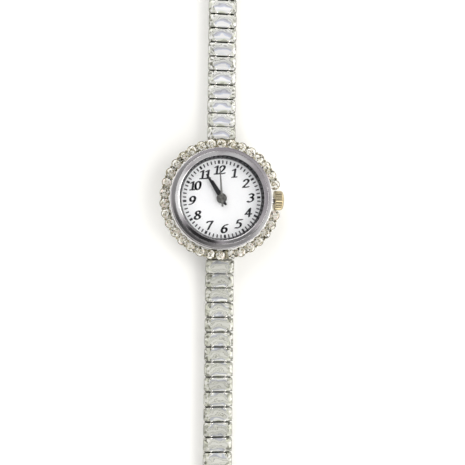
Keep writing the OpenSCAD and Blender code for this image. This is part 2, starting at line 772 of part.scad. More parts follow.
// Stem: square inner part and round outer part that ends in the crown
module stem() {
    color(STEEL) {
        translate([square_x, 0, z_stem]) rotate([0, 90, 0])
            cylinder(d = stem_d, h = crown_x + crown_l * 0.6 - square_x);
        translate([stem_x0, -square_s / 2, z_stem - square_s / 2])
            cube([square_x - stem_x0 + 0.1, square_s, square_s]);
    }
}

// Crown: fluted button with a stepped, domed end
module crown() {
    r = crown_d / 2;
    flute_r = 0.16;
    color(BRASS) translate([crown_x, 0, z_stem]) rotate([0, 90, 0]) difference() {
        rotate_extrude() polygon([
            [0, 0], [r - 0.25, 0], [r, 0.25], [r, crown_l * 0.72],
            [r - 0.3, crown_l * 0.86], [r - 0.9, crown_l], [0, crown_l]]);
        for (i = [0 : crown_flutes - 1]) rotate([0, 0, i * 360 / crown_flutes])
            translate([r + flute_r * 0.4, 0, -1])
                cylinder(r = flute_r, h = crown_l * 0.76 + 1, $fn = 16);
        translate([0, 0, -1]) cylinder(d = stem_d, h = crown_l * 0.6 + 1);
    }
}

// Foot and knuckles of a link or an end piece: ears with the pin at the near hinge, and
// room for the eyes of the piece before it
module hinge_block(l, far_eyes) {
    ear_l = ear_out - eye_out - fit;
    difference() {
        union() {
            translate([-foot_w / 2, foot_gap / 2, 0]) cube([foot_w, l - foot_gap, flare_z0]);
            translate([0, 0, hinge_z]) {
                for (x = [-1, 1]) translate([x * (ear_out - ear_l / 2), 0, 0]) bar_x(knuckle_r, ear_l);
                bar_x(knuckle_r, 2 * (eye_in - fit));
            }
            if (far_eyes) for (x = [-1, 1]) translate([x * (eye_in + eye_out) / 2, l, hinge_z])
                bar_x(knuckle_r, eye_out - eye_in);
        }
        for (x = [-1, 1]) translate([x * (eye_in + eye_out) / 2, 0, hinge_z])
            bar_x(relief_r, eye_out - eye_in + 2 * fit);
        if (far_eyes) translate([0, l, hinge_z]) {
            for (x = [-1, 1]) translate([x * (eye_out + link_w / 2) / 2, 0, 0])
                bar_x(relief_r, link_w / 2 - eye_out);
            bar_x(relief_r, 2 * eye_in);
            bar_x(eye_bore_r, link_w);
        }
    }
    translate([0, 0, hinge_z]) bar_x(pin_r, 2 * ear_out - 0.2);
}

// Outside of a rectangular cup: it flares from the foot to the rim
module cup_outside() {
    y0 = rim_gap / 2;
    foot_y = foot_gap / 2 + 0.5;
    z0 = flare_z0 - 0.1;
    intersection() {
        translate([0, pitch / 2, 0]) linear_extrude(rim_z) rounded(link_w, setting_l, 0.6);
        rotate([90, 0, 90]) translate([0, 0, -link_w]) linear_extrude(2 * link_w) polygon([
            [foot_y, z0], [pitch - foot_y, z0], [pitch - foot_y, flare_z0], [pitch - y0, flare_z1],
            [pitch - y0, rim_z], [y0, rim_z], [y0, flare_z1], [foot_y, flare_z0]]);
        translate([0, pitch, 0]) rotate([90, 0, 0]) linear_extrude(pitch) polygon([
            [-foot_w / 2, 0], [foot_w / 2, 0], [foot_w / 2, flare_z0], [link_w / 2, flare_z1],
            [link_w / 2, rim_z], [-link_w / 2, rim_z], [-link_w / 2, flare_z1], [-foot_w / 2, flare_z0]]);
    }
}

// Step of a crystal's seat: as wide as the crystal is at its upper edge, the depth under the girdle
module seat_step(depth, z0) {
    size = [crystal_w, crystal_l] - 2 * waist_in * depth / (waist_at * pavilion_h);
    translate([0, pitch / 2, z0]) linear_extrude(rim_z)
        square([size[0] + 2 * slack, size[1] + 2 * slack], center = true);
}

// One link of the bracelet: hinge block, cup with a stepped seat, corner prongs, and the crystal
module bracelet_link() {
    ledge = 0.25;
    step = 0.45;
    corner_in = corner_r + 0.04;
    color(SILVER) {
        difference() {
            union() {
                hinge_block(pitch, true);
                cup_outside();
            }
            translate([0, pitch / 2, girdle_rest - ledge]) linear_extrude(rim_z)
                rounded(crystal_w + 2 * slack, crystal_l + 2 * slack, 0.3);
            seat_step(ledge, girdle_rest - step);
            seat_step(step, girdle_rest - pavilion_h - 0.15);
        }
        for (x = [-1, 1], y = [-1, 1])
            translate([x * (link_w / 2 - corner_in), pitch / 2 + y * (setting_l / 2 - corner_in), flare_z1])
                prong(corner_r, rim_z + corner_rise - flare_z1);
    }
    color(CRYSTAL) translate([0, pitch / 2, girdle_rest])
        step_cut(crystal_w, crystal_l, crystal_cut, rim_z - girdle_rest + crystal_h, pavilion_h);
}

// Lays a piece of the bracelet in its place: i counts from the case outwards
module at_hinge(i, side) {
    rotate([0, 0, side == "upper" ? 0 : 180]) translate([0, hinge_y(i), hinge_h(i)])
        rotate([-slope(i), 0, 0]) translate([0, 0, -hinge_z]) children();
}

// Ladder: strip with windows, which the clasp takes at the length that fits the wrist
module ladder() {
    windows = floor((ladder_l - 2.4) / window_pitch);
    window_l = window_pitch - 1.1;
    color(SILVER) at_hinge(UPPER + 1, "upper") {
        hinge_block(block_l, false);
        translate([0, 0, strip_z0]) linear_extrude(ladder_t) difference() {
            union() {
                translate([-ladder_w / 2, block_l - 0.5]) square([ladder_w, ladder_l - ladder_w / 2 + 0.5]);
                translate([0, block_l + ladder_l - ladder_w / 2]) circle(d = ladder_w);
            }
            for (i = [0 : windows - 1]) translate([0, block_l + 1.4 + i * window_pitch])
                square([ladder_w - 1.6, window_l], center = true);
        }
    }
}

// Clasp base: sheet-metal channel on the last link, with the cover's hinge at its open end
module clasp_base() {
    y0 = block_l - 0.4;
    wall_h = cover_z - 0.1;
    eye_l = 0.9;
    color(SILVER) at_hinge(LOWER + 1, "lower") {
        hinge_block(block_l, false);
        difference() {
            union() {
                translate([-clasp_w / 2, y0, 0]) cube([clasp_w, clasp_l - y0 - 0.8, sheet_t]);
                for (x = [-1, 1]) {
                    translate([x * (clasp_w - sheet_t) / 2 - sheet_t / 2, y0, 0])
                        cube([sheet_t, clasp_l - y0, wall_h]);
                    translate([x * (clasp_w - eye_l) / 2, clasp_l, clasp_pin_z])
                        bar_x(clasp_knuckle_r, eye_l);
                }
            }
            translate([0, clasp_l, clasp_pin_z]) bar_x(clasp_pin_r + fit, link_w);
        }
    }
}

// Clasp cover: lid that folds down over the ladder, with teeth for the windows
module clasp_cover() {
    cover_w = clasp_w + 2 * sheet_t + 0.2;
    tab_w = clasp_w - 2.2;
    y0 = 0.9;
    y1 = clasp_l - clasp_knuckle_r - 0.1;
    skirt_h = 1.0;
    tooth = [2.2, 0.9, 0.8];
    color(SILVER) at_hinge(LOWER + 1, "lower") {
        translate([-cover_w / 2, y0, cover_z]) cube([cover_w, y1 - y0, sheet_t]);
        translate([-tab_w / 2, y1 - 0.2, cover_z]) cube([tab_w, clasp_l - y1 + 0.2, sheet_t]);
        for (x = [-1, 1])
            translate([x * (cover_w - sheet_t) / 2 - sheet_t / 2, y0, cover_z + sheet_t - skirt_h])
                cube([sheet_t, y1 - 0.3 - y0, skirt_h]);
        for (i = [1, 2])
            translate([-tooth[0] / 2, clasp_l - 2 - i * window_pitch, cover_z - tooth[2] + 0.05])
                cube(tooth);
        translate([0, clasp_l, clasp_pin_z]) {
            bar_x(clasp_knuckle_r, tab_w);
            bar_x(clasp_pin_r, clasp_w - 0.1);
        }
    }
}

case_body();
case_back();
back_gasket();
bezel();
crystal_lens();
lens_gasket();
ring_settings();
ring_stones();
dial();
movement_plate();
train_bridge();
battery();
circuit_board();
coil();
stator();
rotor();
step_wheel();
seconds_wheel();
third_wheel();
centre_wheel();
cannon_pinion();
minute_wheel();
hour_wheel();
hour_hand();
minute_hand();
seconds_hand();
sliding_pinion();
stem();
crown();
for (i = [1 : UPPER])
    at_hinge(i, "upper") bracelet_link();
for (i = [1 : LOWER])
    at_hinge(i, "lower") bracelet_link();
ladder();
clasp_base();
clasp_cover();
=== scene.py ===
"""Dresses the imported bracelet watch: its metals, dial, hands, cut stones, crown, links and clasp."""
import json
import math

import bmesh
import bpy
from mathutils import Matrix, Vector

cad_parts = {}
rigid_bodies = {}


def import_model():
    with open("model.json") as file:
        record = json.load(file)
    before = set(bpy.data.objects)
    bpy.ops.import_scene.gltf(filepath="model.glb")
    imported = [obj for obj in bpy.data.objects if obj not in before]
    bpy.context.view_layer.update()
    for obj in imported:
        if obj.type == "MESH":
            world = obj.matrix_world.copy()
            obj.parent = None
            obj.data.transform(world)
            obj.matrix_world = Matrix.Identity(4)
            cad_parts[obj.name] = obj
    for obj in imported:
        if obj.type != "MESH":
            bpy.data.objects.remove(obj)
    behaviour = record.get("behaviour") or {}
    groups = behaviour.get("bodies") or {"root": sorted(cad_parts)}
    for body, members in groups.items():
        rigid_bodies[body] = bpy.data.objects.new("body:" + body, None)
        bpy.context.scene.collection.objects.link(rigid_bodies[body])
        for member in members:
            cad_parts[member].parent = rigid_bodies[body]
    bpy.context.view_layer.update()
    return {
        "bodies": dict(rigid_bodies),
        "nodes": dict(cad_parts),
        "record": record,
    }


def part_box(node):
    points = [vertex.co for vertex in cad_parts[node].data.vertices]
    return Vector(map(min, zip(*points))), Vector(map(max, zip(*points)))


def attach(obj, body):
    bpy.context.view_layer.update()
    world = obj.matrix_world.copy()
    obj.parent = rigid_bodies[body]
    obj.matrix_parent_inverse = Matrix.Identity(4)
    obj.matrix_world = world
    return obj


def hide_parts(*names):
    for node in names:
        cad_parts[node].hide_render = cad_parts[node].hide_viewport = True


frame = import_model()
mm = 0.001

# The movement: a quartz calibre that fills the case under the dial. Its plate and stator are nickelled
# steel, its bridge and wheels gilt brass, and the coil is wound with lacquered copper wire. The modelled
# solids stay as they are, and only take their finishes here.


def kit(tree):
    """Functions for a node tree: to add a node with its values and links, feed a socket, and calculate."""
    def feed(socket, value):
        if isinstance(value, bpy.types.NodeSocket):
            tree.links.new(value, socket)
        else:
            socket.default_value = value

    def add(kind, settings=None, **inputs):
        node = tree.nodes.new(kind)
        for key, value in (settings or {}).items():
            setattr(node, key, value)
        for key, value in inputs.items():
            feed(node.inputs[int(key[1:]) if key[1:].isdigit() else key.replace("_", " ")], value)
        return node

    def calc(operation, *values):
        inputs = {"_" + str(k): value for k, value in enumerate(values)}
        return add("ShaderNodeMath", {"operation": operation}, **inputs).outputs[0]

    return add, feed, calc


def shader(name):
    """A material, its surface shader, and the functions for its nodes."""
    material = bpy.data.materials.new(name)
    material.use_nodes = True
    return material, material.node_tree.nodes["Principled BSDF"], *kit(material.node_tree)[:2]


def ramp(add, factor, *stops, steps=False):
    """Colour ramp through stops of position and colour, smooth or in steps."""
    node = add("ShaderNodeValToRGB", Fac=factor)
    node.color_ramp.interpolation = "CONSTANT" if steps else "LINEAR"
    made = len(node.color_ramp.elements)
    for number, (at, colour) in enumerate(stops):
        stop = node.color_ramp.elements[number] if number < made else node.color_ramp.elements.new(at)
        stop.position = at
        stop.color = (*colour, 1)
    return node.outputs["Color"]


def metal(name, colour, shade, gloss, grain=2500, along=(1, 1, 1), scratch=0.04):
    """Worked metal: tone and gloss vary from place to place, with fine scratches along the grain."""
    material, surface, add, feed = shader(name)
    place = add("ShaderNodeTexCoord").outputs["Object"]
    lines = add("ShaderNodeMapping", Vector=place, Scale=along).outputs["Vector"]
    fine = add("ShaderNodeTexNoise", Vector=lines, Scale=grain, Detail=4.0).outputs["Fac"]
    broad = add("ShaderNodeTexNoise", Vector=place, Scale=grain / 8, Detail=2.0).outputs["Fac"]
    feed(surface.inputs["Base Color"], ramp(add, broad, (0.3, shade), (0.65, colour)))
    spread = add("ShaderNodeMapRange", Value=fine, To_Min=gloss[0], To_Max=gloss[1])
    feed(surface.inputs["Roughness"], spread.outputs["Result"])
    relief = add("ShaderNodeBump", Strength=scratch, Distance=0.02 * mm, Height=fine)
    feed(surface.inputs["Normal"], relief.outputs["Normal"])
    surface.inputs["Metallic"].default_value = 1.0
    return material


def dress(material, *nodes):
    """Gives modelled nodes their finish."""
    for node in nodes:
        mesh = frame["nodes"][node].data
        mesh.materials.clear()
        mesh.materials.append(material)


nickel = metal("nickelled_steel", (0.62, 0.63, 0.65), (0.5, 0.5, 0.52), (0.25, 0.4), along=(1, 12, 1))
gilt = metal("gilt_brass", (0.83, 0.66, 0.36), (0.7, 0.52, 0.26), (0.2, 0.35), along=(12, 1, 1))
copper = metal("lacquered_copper", (0.72, 0.34, 0.17), (0.5, 0.2, 0.1), (0.2, 0.4), grain=6000,
               along=(20, 1, 1), scratch=0.3)
dress(nickel, "movement_plate", "stator", "battery", "rotor", "cannon_pinion", "sliding_pinion", "stem")
dress(gilt, "train_bridge", "step_wheel", "seconds_wheel", "third_wheel", "centre_wheel")
dress(gilt, "minute_wheel", "hour_wheel")
dress(copper, "coil")

lacquer, surface, add, feed = shader("board_lacquer")
place = add("ShaderNodeTexCoord").outputs["Object"]
weave = add("ShaderNodeTexNoise", Vector=place, Scale=4000.0).outputs["Fac"]
feed(surface.inputs["Base Color"], ramp(add, weave, (0.3, (0.01, 0.09, 0.03)), (0.7, (0.02, 0.16, 0.06))))
surface.inputs["Roughness"].default_value = 0.3
dress(lacquer, "circuit_board")

# The case: a turned and polished barrel with a silver-coloured plating, closed from below by a satin steel
# lid that snaps in over a rubber O-ring. Its edges are broken in polishing, so each gets a small round.


def slabs(mesh):
    """Merges a copy of a modelled solid and gives it back its flat faces."""
    form = bmesh.new()
    form.from_mesh(mesh)
    bmesh.ops.remove_doubles(form, verts=form.verts, dist=0.0005 * mm)
    bmesh.ops.dissolve_limit(form, angle_limit=math.radians(1), verts=form.verts, edges=form.edges)
    return form


def piece_from(form, name, material, sharp=30):
    """Turns a bmesh into a shaded object at the origin."""
    mesh = bpy.data.meshes.new(name)
    form.to_mesh(mesh)
    form.free()
    if material:
        mesh.materials.append(material)
    mesh.shade_smooth()
    mesh.set_sharp_from_angle(angle=math.radians(sharp))
    piece = bpy.data.objects.new(name, mesh)
    bpy.context.collection.objects.link(piece)
    return piece


def settle(piece):
    """Makes the object's modifiers final."""
    graph = bpy.context.evaluated_depsgraph_get()
    mesh = bpy.data.meshes.new_from_object(piece.evaluated_get(graph))
    piece.modifiers.clear()
    piece.data = mesh
    return piece


def broken_edges(piece, width):
    """Gives the sharp edges of a piece a small round."""
    edge = piece.modifiers.new("edges", "BEVEL")
    edge.width = width
    edge.segments = 2
    edge.limit_method = "ANGLE"
    edge.angle_limit = math.radians(35)
    return settle(piece)


def polished_copy(node, name, material, width):
    """A modelled node again, with broken edges, which takes the node's place."""
    piece = broken_edges(piece_from(slabs(frame["nodes"][node].data), name, material), width)
    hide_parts(node)
    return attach(piece, frame["nodes"][node].parent.name.split("body:")[-1])


plated = metal("plated_silver", (0.80, 0.79, 0.79), (0.70, 0.69, 0.70), (0.08, 0.16), scratch=0.02)
satin = metal("satin_steel", (0.62, 0.62, 0.64), (0.52, 0.52, 0.54), (0.2, 0.36), grain=3000,
              along=(1, 14, 1), scratch=0.1)
polished_copy("case_body", "case_barrel", plated, width=0.05 * mm)
polished_copy("case_back", "case_lid", satin, width=0.04 * mm)

rubber, surface, add, feed = shader("seal_rubber")
place = add("ShaderNodeTexCoord").outputs["Object"]
bloom = add("ShaderNodeTexNoise", Vector=place, Scale=3000.0).outputs["Fac"]
feed(surface.inputs["Base Color"], ramp(add, bloom, (0.4, (0.02, 0.02, 0.02)), (0.7, (0.05, 0.05, 0.05))))
surface.inputs["Roughness"].default_value = 0.7
dress(rubber, "back_gasket", "lens_gasket")

# The dial: a thin brass disc in matt white lacquer, printed in black with sixty ticks and the twelve hours
# in a broad-nibbed italic. It sits turned a little to the left in its case, as on the real watch.
print_t = 0.012 * mm
dial_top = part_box("dial")[1].z
dial_turn = math.radians(4.0)

enamel, surface, add, feed = shader("dial_lacquer")
place = add("ShaderNodeTexCoord").outputs["Object"]
mottle = add("ShaderNodeTexNoise", Vector=place, Scale=400.0, Detail=2.0).outputs["Fac"]
feed(surface.inputs["Base Color"], ramp(add, mottle, (0.3, (0.95, 0.96, 0.965)),
                                        (0.7, (0.98, 0.985, 0.985))))
pores = add("ShaderNodeTexNoise", Vector=place, Scale=9000.0).outputs["Fac"]
relief = add("ShaderNodeBump", Strength=0.05, Distance=0.01 * mm, Height=pores)
feed(surface.inputs["Normal"], relief.outputs["Normal"])
surface.inputs["Roughness"].default_value = 0.55
dress(enamel, "dial")

ink, surface, add, feed = shader("dial_ink")
place = add("ShaderNodeTexCoord").outputs["Object"]
density = add("ShaderNodeTexNoise", Vector=place, Scale=5000.0).outputs["Fac"]
feed(surface.inputs["Base Color"], ramp(add, density, (0.3, (0.012, 0.013, 0.015)),
                                        (0.7, (0.03, 0.03, 0.034))))
surface.inputs["Roughness"].default_value = 0.45

# What a tree's input takes, by the last word of its name; all others take a number
SOCKETS = {"count": "NodeSocketInt", "seed": "NodeSocketInt", "finish": "NodeSocketMaterial",
           "part": "NodeSocketObject", "place": "NodeSocketVector", "turn": "NodeSocketVector"}


def plan(name, *inputs):
    """A Geometry Nodes tree with named inputs, and the functions that add a node and end the tree."""
    tree = bpy.data.node_groups.new(name, "GeometryNodeTree")
    tree.interface.new_socket("Geometry", in_out="INPUT", socket_type="NodeSocketGeometry")
    for label in inputs:
        kind = SOCKETS.get(label.split()[-1], "NodeSocketFloat")
        tree.interface.new_socket(label, in_out="INPUT", socket_type=kind)
    tree.interface.new_socket("Geometry", in_out="OUTPUT", socket_type="NodeSocketGeometry")
    ends = tree.nodes.new("NodeGroupInput"), tree.nodes.new("NodeGroupOutput")
    plain_add, _, calc = kit(tree)

    def add(kind, settings=None, **inputs):
        return plain_add(kind, settings, **inputs).outputs[0]

    def close(geometry, finish):
        whole = add("GeometryNodeRealizeInstances", Geometry=geometry)
        dressed = add("GeometryNodeSetMaterial", Geometry=whole, Material=finish)
        tree.links.new(dressed, ends[1].inputs[0])

    return tree, ends[0].outputs, add, calc, close


def grown(tree, name, mesh=None, sharp=30, **values):
    """Runs a tree on a mesh, with its inputs set by name, and keeps what it makes as a plain mesh."""
    piece = bpy.data.objects.new(name, mesh.copy() if mesh else bpy.data.meshes.new(name))
    bpy.context.collection.objects.link(piece)
    growth = piece.modifiers.new("growth", "NODES")
    growth.node_group = tree
    for item in tree.interface.items_tree:
        if item.in_out == "INPUT" and item.name.replace(" ", "_") in values:
            growth[item.identifier] = values[item.name.replace(" ", "_")]
    settle(piece)
    if piece.data.materials[0] is None:
        piece.data.materials.pop(index=0)
    piece.data.name = name
    piece.data.shade_smooth()
    piece.data.set_sharp_from_angle(angle=math.radians(sharp))
    return piece


def prop(form, name):
    """A part that a tree instances, kept out of the scene."""
    mesh = bpy.data.meshes.new(name)
    form.to_mesh(mesh)
    form.free()
    return bpy.data.objects.new(name, mesh)


# One tree serves whatever stands in a ring: ticks, ribs, cups, beads and stones. It turns each part with
# the ring, leans it a little as a hand sets it, widens one in every few, and gives each facet a number that
# the tint of its painted reflection comes from.
ring_tree, given, add, calc, close = plan(
    "ring_of_parts", "Cup part", "Places count", "First place count", "Kept count", "Radius", "Height",
    "Start", "Every count", "Bold", "Tilt", "Tilt seed", "Part finish")


def chance(add, low, high, seed):
    """A number that differs from part to part, and is the same in each run."""
    return add("FunctionNodeRandomValue", _2=low, _3=high, Seed=seed).node.outputs[1]


number = calc("ADD", add("GeometryNodeInputIndex"), given["First place count"])
angle = calc("MULTIPLY_ADD", number, calc("DIVIDE", math.tau, given["Places count"]), given["Start"])
spot = add("ShaderNodeCombineXYZ", X=calc("MULTIPLY", given["Radius"], calc("COSINE", angle)),
           Y=calc("MULTIPLY", given["Radius"], calc("SINE", angle)), Z=given["Height"])
points = add("GeometryNodePoints", Count=given["Kept count"], Position=spot)
part = add("GeometryNodeObjectInfo", Object=given["Cup part"]).node.outputs["Geometry"]
chosen = calc("COMPARE", calc("MODULO", number, given["Every count"]), 0.0, 0.5)
width = calc("MULTIPLY_ADD", chosen, given["Bold"], 1.0)
tilt = add("ShaderNodeCombineXYZ", X=chance(add, -1.0, 1.0, given["Tilt seed"]),
           Y=chance(add, -1.0, 1.0, calc("ADD", given["Tilt seed"], 7.0)), Z=0.0)
leant = add("ShaderNodeVectorMath", {"operation": "SCALE"}, _0=tilt, Scale=given["Tilt"])
turn = add("ShaderNodeVectorMath", _0=leant, _1=add("ShaderNodeCombineXYZ", Z=angle))
set_parts = add("GeometryNodeInstanceOnPoints", Points=points, Instance=part,
                Rotation=turn, Scale=add("ShaderNodeCombineXYZ", X=1.0, Y=width, Z=1.0))
flashed = add("GeometryNodeStoreNamedAttribute", {"data_type": "FLOAT", "domain": "FACE"}, Name="flash",
              Geometry=add("GeometryNodeRealizeInstances", Geometry=set_parts),
              Value=chance(add, 0.0, 1.0, given["Tilt seed"]))
close(flashed, given["Part finish"])


def ring_of(name, part, places, radius, height, finish, first=0, kept=None, start=0.0, every=1, bold=0.0,
            tilt=0.0, seed=1, sharp=30):
    """Parts in a ring on the case, as one piece."""
    return grown(ring_tree, name, sharp=sharp, Cup_part=part, Places_count=places, First_place_count=first,
                 Kept_count=kept or places, Radius=radius, Height=height, Start=start, Every_count=every,
                 Bold=bold, Tilt=tilt, Tilt_seed=seed, Part_finish=finish)


# The print stands a little low on the disc, and a little askew
print_x, print_y, print_skew = 0.08 * mm, -0.15 * mm, -0.022
printed = Matrix(((1, print_skew, 0, print_x), (0, 1, 0, print_y), (0, 0, 1, 0), (0, 0, 0, 1)))
tick_l, tick_w, tick_r = 0.74 * mm, 0.27 * mm, 8.23 * mm
minutes, minutes_a_number, bolder = 60, 5, 0.75
form = bmesh.new()
bmesh.ops.create_cube(form, size=1.0, matrix=Matrix.Diagonal((tick_l, tick_w, print_t, 1)))
track = ring_of("minute_ticks", prop(form, "tick"), minutes, tick_r, dial_top + print_t / 2, ink,
                start=dial_turn, every=minutes_a_number, bold=bolder)
track.data.transform(printed)
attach(track, "case")

# Each hour is written with a flat nib held at a slant: the strokes run on a unit height, and lean forward
numeral_h = 1.9 * mm
numeral_r = 6.5 * mm
nib_w, nib_t, nib_slant, nib_sides = 0.245, 0.13, math.radians(18), 10
lean = 0.22
ROUND = [(0.06, 0.50), (0.10, 0.78), (0.30, 0.96), (0.52, 0.84), (0.58, 0.50), (0.52, 0.16), (0.32, 0.04),
         (0.12, 0.20), (0.06, 0.50)]
SIX = [(0.60, 0.93), (0.34, 0.86), (0.13, 0.58), (0.08, 0.28), (0.22, 0.06), (0.44, 0.05), (0.59, 0.24),
       (0.54, 0.48), (0.36, 0.57), (0.14, 0.44)]
STROKES = {
    "0": [ROUND],
    "1": [[(0.12, 0.82), (0.36, 0.96)], [(0.36, 0.96), (0.36, 0.04)], [(0.14, 0.04), (0.60, 0.04)]],
    "2": [[(0.09, 0.76), (0.20, 0.93), (0.42, 0.95), (0.57, 0.78), (0.48, 0.54), (0.26, 0.28), (0.06, 0.07)],
          [(0.06, 0.06), (0.36, 0.05), (0.64, 0.09)]],
    "3": [[(0.12, 0.88), (0.32, 0.96), (0.54, 0.84), (0.50, 0.64), (0.28, 0.55)],
          [(0.28, 0.55), (0.52, 0.46), (0.57, 0.24), (0.38, 0.05), (0.16, 0.02), (0.0, 0.10)]],
    "4": [[(0.46, 0.97), (0.05, 0.32)], [(0.05, 0.32), (0.66, 0.32)], [(0.46, 0.97), (0.46, 0.02)]],
    "5": [[(0.64, 0.97), (0.22, 0.94)], [(0.22, 0.94), (0.15, 0.58)],
          [(0.15, 0.58), (0.38, 0.62), (0.57, 0.45), (0.54, 0.20), (0.34, 0.04), (0.06, 0.06)]],
    "6": [SIX],
    "7": [[(0.08, 0.84), (0.14, 0.94), (0.64, 0.94)], [(0.64, 0.94), (0.42, 0.50), (0.26, 0.02)]],
    "8": [[(0.33, 0.53), (0.13, 0.68), (0.16, 0.89), (0.35, 0.96), (0.54, 0.87), (0.52, 0.67), (0.33, 0.53),
           (0.10, 0.36), (0.08, 0.15), (0.32, 0.03), (0.57, 0.14), (0.57, 0.37), (0.33, 0.53)]],
    "9": [[(0.66 - x, 1 - y) for x, y in SIX]],
}


def eased(line, parts=7):
    """Points of a smooth curve through the points of a stroke."""
    if len(line) == 2:
        return line
    ends = [line[0], *line, line[-1]]
    out = []
    for a, b, c, d in zip(ends, ends[1:], ends[2:], ends[3:]):
        for k in range(parts):
            t = k / parts
            out.append(tuple(0.5 * (2 * q + (r - p) * t + (2 * p - 5 * q + 4 * r - s) * t ** 2
                                    + (3 * q - p - 3 * r + s) * t ** 3) for p, q, r, s in zip(a, b, c, d)))
    return [*out, line[-1]]


def nib_mark(form, start, end, where):
    """Ink of one short pull of the nib: the hull of the nib's outline at both ends."""
    corners = [form.verts.new(where(x + nib_w / 2 * math.cos(turn) * math.cos(nib_slant)
                                    - nib_t / 2 * math.sin(turn) * math.sin(nib_slant),
                                    y + nib_w / 2 * math.cos(turn) * math.sin(nib_slant)
                                    + nib_t / 2 * math.sin(turn) * math.cos(nib_slant), level))
               for x, y in (start, end) for level in (0, 1)
               for turn in (step * math.tau / nib_sides for step in range(nib_sides))]
    hull = bmesh.ops.convex_hull(form, input=corners)
    bmesh.ops.delete(form, geom=[g for g in hull["geom_interior"] if isinstance(g, bmesh.types.BMVert)],
                     context="VERTS")


form = bmesh.new()
digit_w, digit_mid, digit_stretch = 0.62, 0.33, 1.1
for hour in range(1, 13):
    clock = dial_turn + math.radians(90 - 360 / 12 * hour)
    text = str(hour)
    for spot, digit in enumerate(text):
        shift = (spot - len(text) / 2) * digit_w

        def where(x, y, level):
            """Place on the dial of a point of the digit, at the foot or the top of the ink."""
            across = shift + digit_w / 2 + (x - digit_mid) * digit_stretch + lean * (y - 0.5)
            flat = Matrix.Rotation(dial_turn, 2) @ (Vector((across, y - 0.5)) * numeral_h)
            flat += Vector((math.cos(clock), math.sin(clock))) * numeral_r
            return Vector((*flat, dial_top + level * print_t))

        for stroke in STROKES[digit]:
            path = eased(stroke)
            for start, end in zip(path, path[1:]):
                nib_mark(form, start, end, where)
numerals = piece_from(form, "hour_numerals", ink)
numerals.data.transform(printed)
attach(numerals, "case")

# The hands: stamped brass with a raised ridge, lacquered dark, pressed on the pipes one above the other. The
# seconds hand is a plain grey needle. Each has a boss whose lacquer is painted lighter and mottled: a
# painted sheen.


def hand(name, node, width, tip, tail, tail_w, boss, turn, material, boss_finish):
    """A ridged blade with a boss, drawn over the modelled hand from its own box of heights."""
    low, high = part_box(node)
    reach = max(math.hypot(v.co.x, v.co.y) for v in frame["nodes"][node].data.vertices)
    # Shares of the length at the widest place and at the point, of the height at the edge, and of the width
    # that the ridge keeps
    belly, point, edge, ridge_w = 0.3, 0.985, 0.45, 0.06
    outline = [(0, -tail), (tail_w / 2, -tail * 0.97), (tail_w / 2, 0), (width / 2, reach * belly),
               (tip / 2, reach * point), (0, reach)]
    form = bmesh.new()
    levels = [(1.0, 1.0, low.z), (1.0, 1.0, low.z + (high.z - low.z) * edge), (ridge_w, point, high.z)]
    rings = []
    for share, shrink, z in levels:
        right = [(x * share, y * shrink) for x, y in outline]
        around = right + [(-x, y) for x, y in reversed(right[1:-1])]
        rings.append([form.verts.new(Matrix.Rotation(turn, 3, "Z") @ Vector((x, y, z))) for x, y in around])
    loft(form, rings)
    blade_faces = len(form.faces)
    disc(form, boss, low.z, high.z)
    piece = piece_from(form, name, material, sharp=20)
    piece.data.materials.append(boss_finish)
    for face in piece.data.polygons[blade_faces:]:
        face.material_index = 1
    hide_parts(node)
    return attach(piece, node)


def loft(form, rings, closed=True):
    """Skins rings of equal count, and caps both ends."""
    for below, above in zip(rings, rings[1:]):
        for i in range(len(below)):
            j = (i + 1) % len(below)
            form.faces.new((below[i], below[j], above[j], above[i]))
    if closed:
        form.faces.new(list(reversed(rings[0])))
        form.faces.new(rings[-1])


def turned(form, profile, count):
    """A closed ring turned from a profile of radius and height that runs anticlockwise."""
    rings = []
    for a in (i * math.tau / count for i in range(count)):
        rings.append([form.verts.new((r * math.cos(a), r * math.sin(a), z)) for r, z in profile])
    for here, there in zip(rings, rings[1:] + rings[:1]):
        for i in range(len(profile)):
            j = (i + 1) % len(profile)
            form.faces.new((here[i], there[i], there[j], here[j]))


def circle(form, radius, height, count):
    """Corners of a level circle, anticlockwise."""
    return [form.verts.new((radius * math.cos(a), radius * math.sin(a), height))
            for a in (k * math.tau / count for k in range(count))]


def disc(form, radius, low, high, count=48):
    """A turned boss with a rounded shoulder and a flat top."""
    soft = (high - low) * 0.5
    steps = [(radius, low), (radius, high - soft)]
    steps += [(radius - soft * (1 - math.cos(a)), high - soft + soft * math.sin(a))
              for a in (math.radians(x) for x in (30, 60, 90))]
    loft(form, [circle(form, r, z, count) for r, z in steps])


dark_lacquer = metal("hand_lacquer", (0.08, 0.08, 0.083), (0.05, 0.05, 0.053), (0.22, 0.36), grain=5000)
grey_lacquer = metal("needle_grey", (0.17, 0.17, 0.16), (0.11, 0.11, 0.105), (0.3, 0.45), grain=5000)
# The bosses' lacquer is painted lighter than the blades', a painted sheen, and mottled.
boss_painted_sheen = metal("boss_lacquer", (0.19, 0.19, 0.175), (0.05, 0.05, 0.046), (0.25, 0.4), grain=9000)
for painted in (grey_lacquer, boss_painted_sheen):
    painted.node_tree.nodes["Principled BSDF"].inputs["Metallic"].default_value = 0.1

# The watch shows about five to eleven: each hand's turn to the left of twelve, in degrees
hour_at, minute_at, second_at = (math.radians(a) for a in (28.9, 33.3, 4.4))
hand("hour_blade", "hour_hand", width=1.1 * mm, tip=0.4 * mm, tail=1.5 * mm, tail_w=0.5 * mm,
     boss=1.15 * mm, turn=hour_at, material=dark_lacquer, boss_finish=boss_painted_sheen)
hand("minute_blade", "minute_hand", width=0.9 * mm, tip=0.34 * mm, tail=1.8 * mm, tail_w=0.45 * mm,
     boss=1.0 * mm, turn=minute_at, material=dark_lacquer, boss_finish=boss_painted_sheen)
hand("seconds_needle", "seconds_hand", width=0.42 * mm, tip=0.26 * mm, tail=1.95 * mm, tail_w=0.42 * mm,
     boss=0.68 * mm, turn=second_at, material=grey_lacquer, boss_finish=boss_painted_sheen)
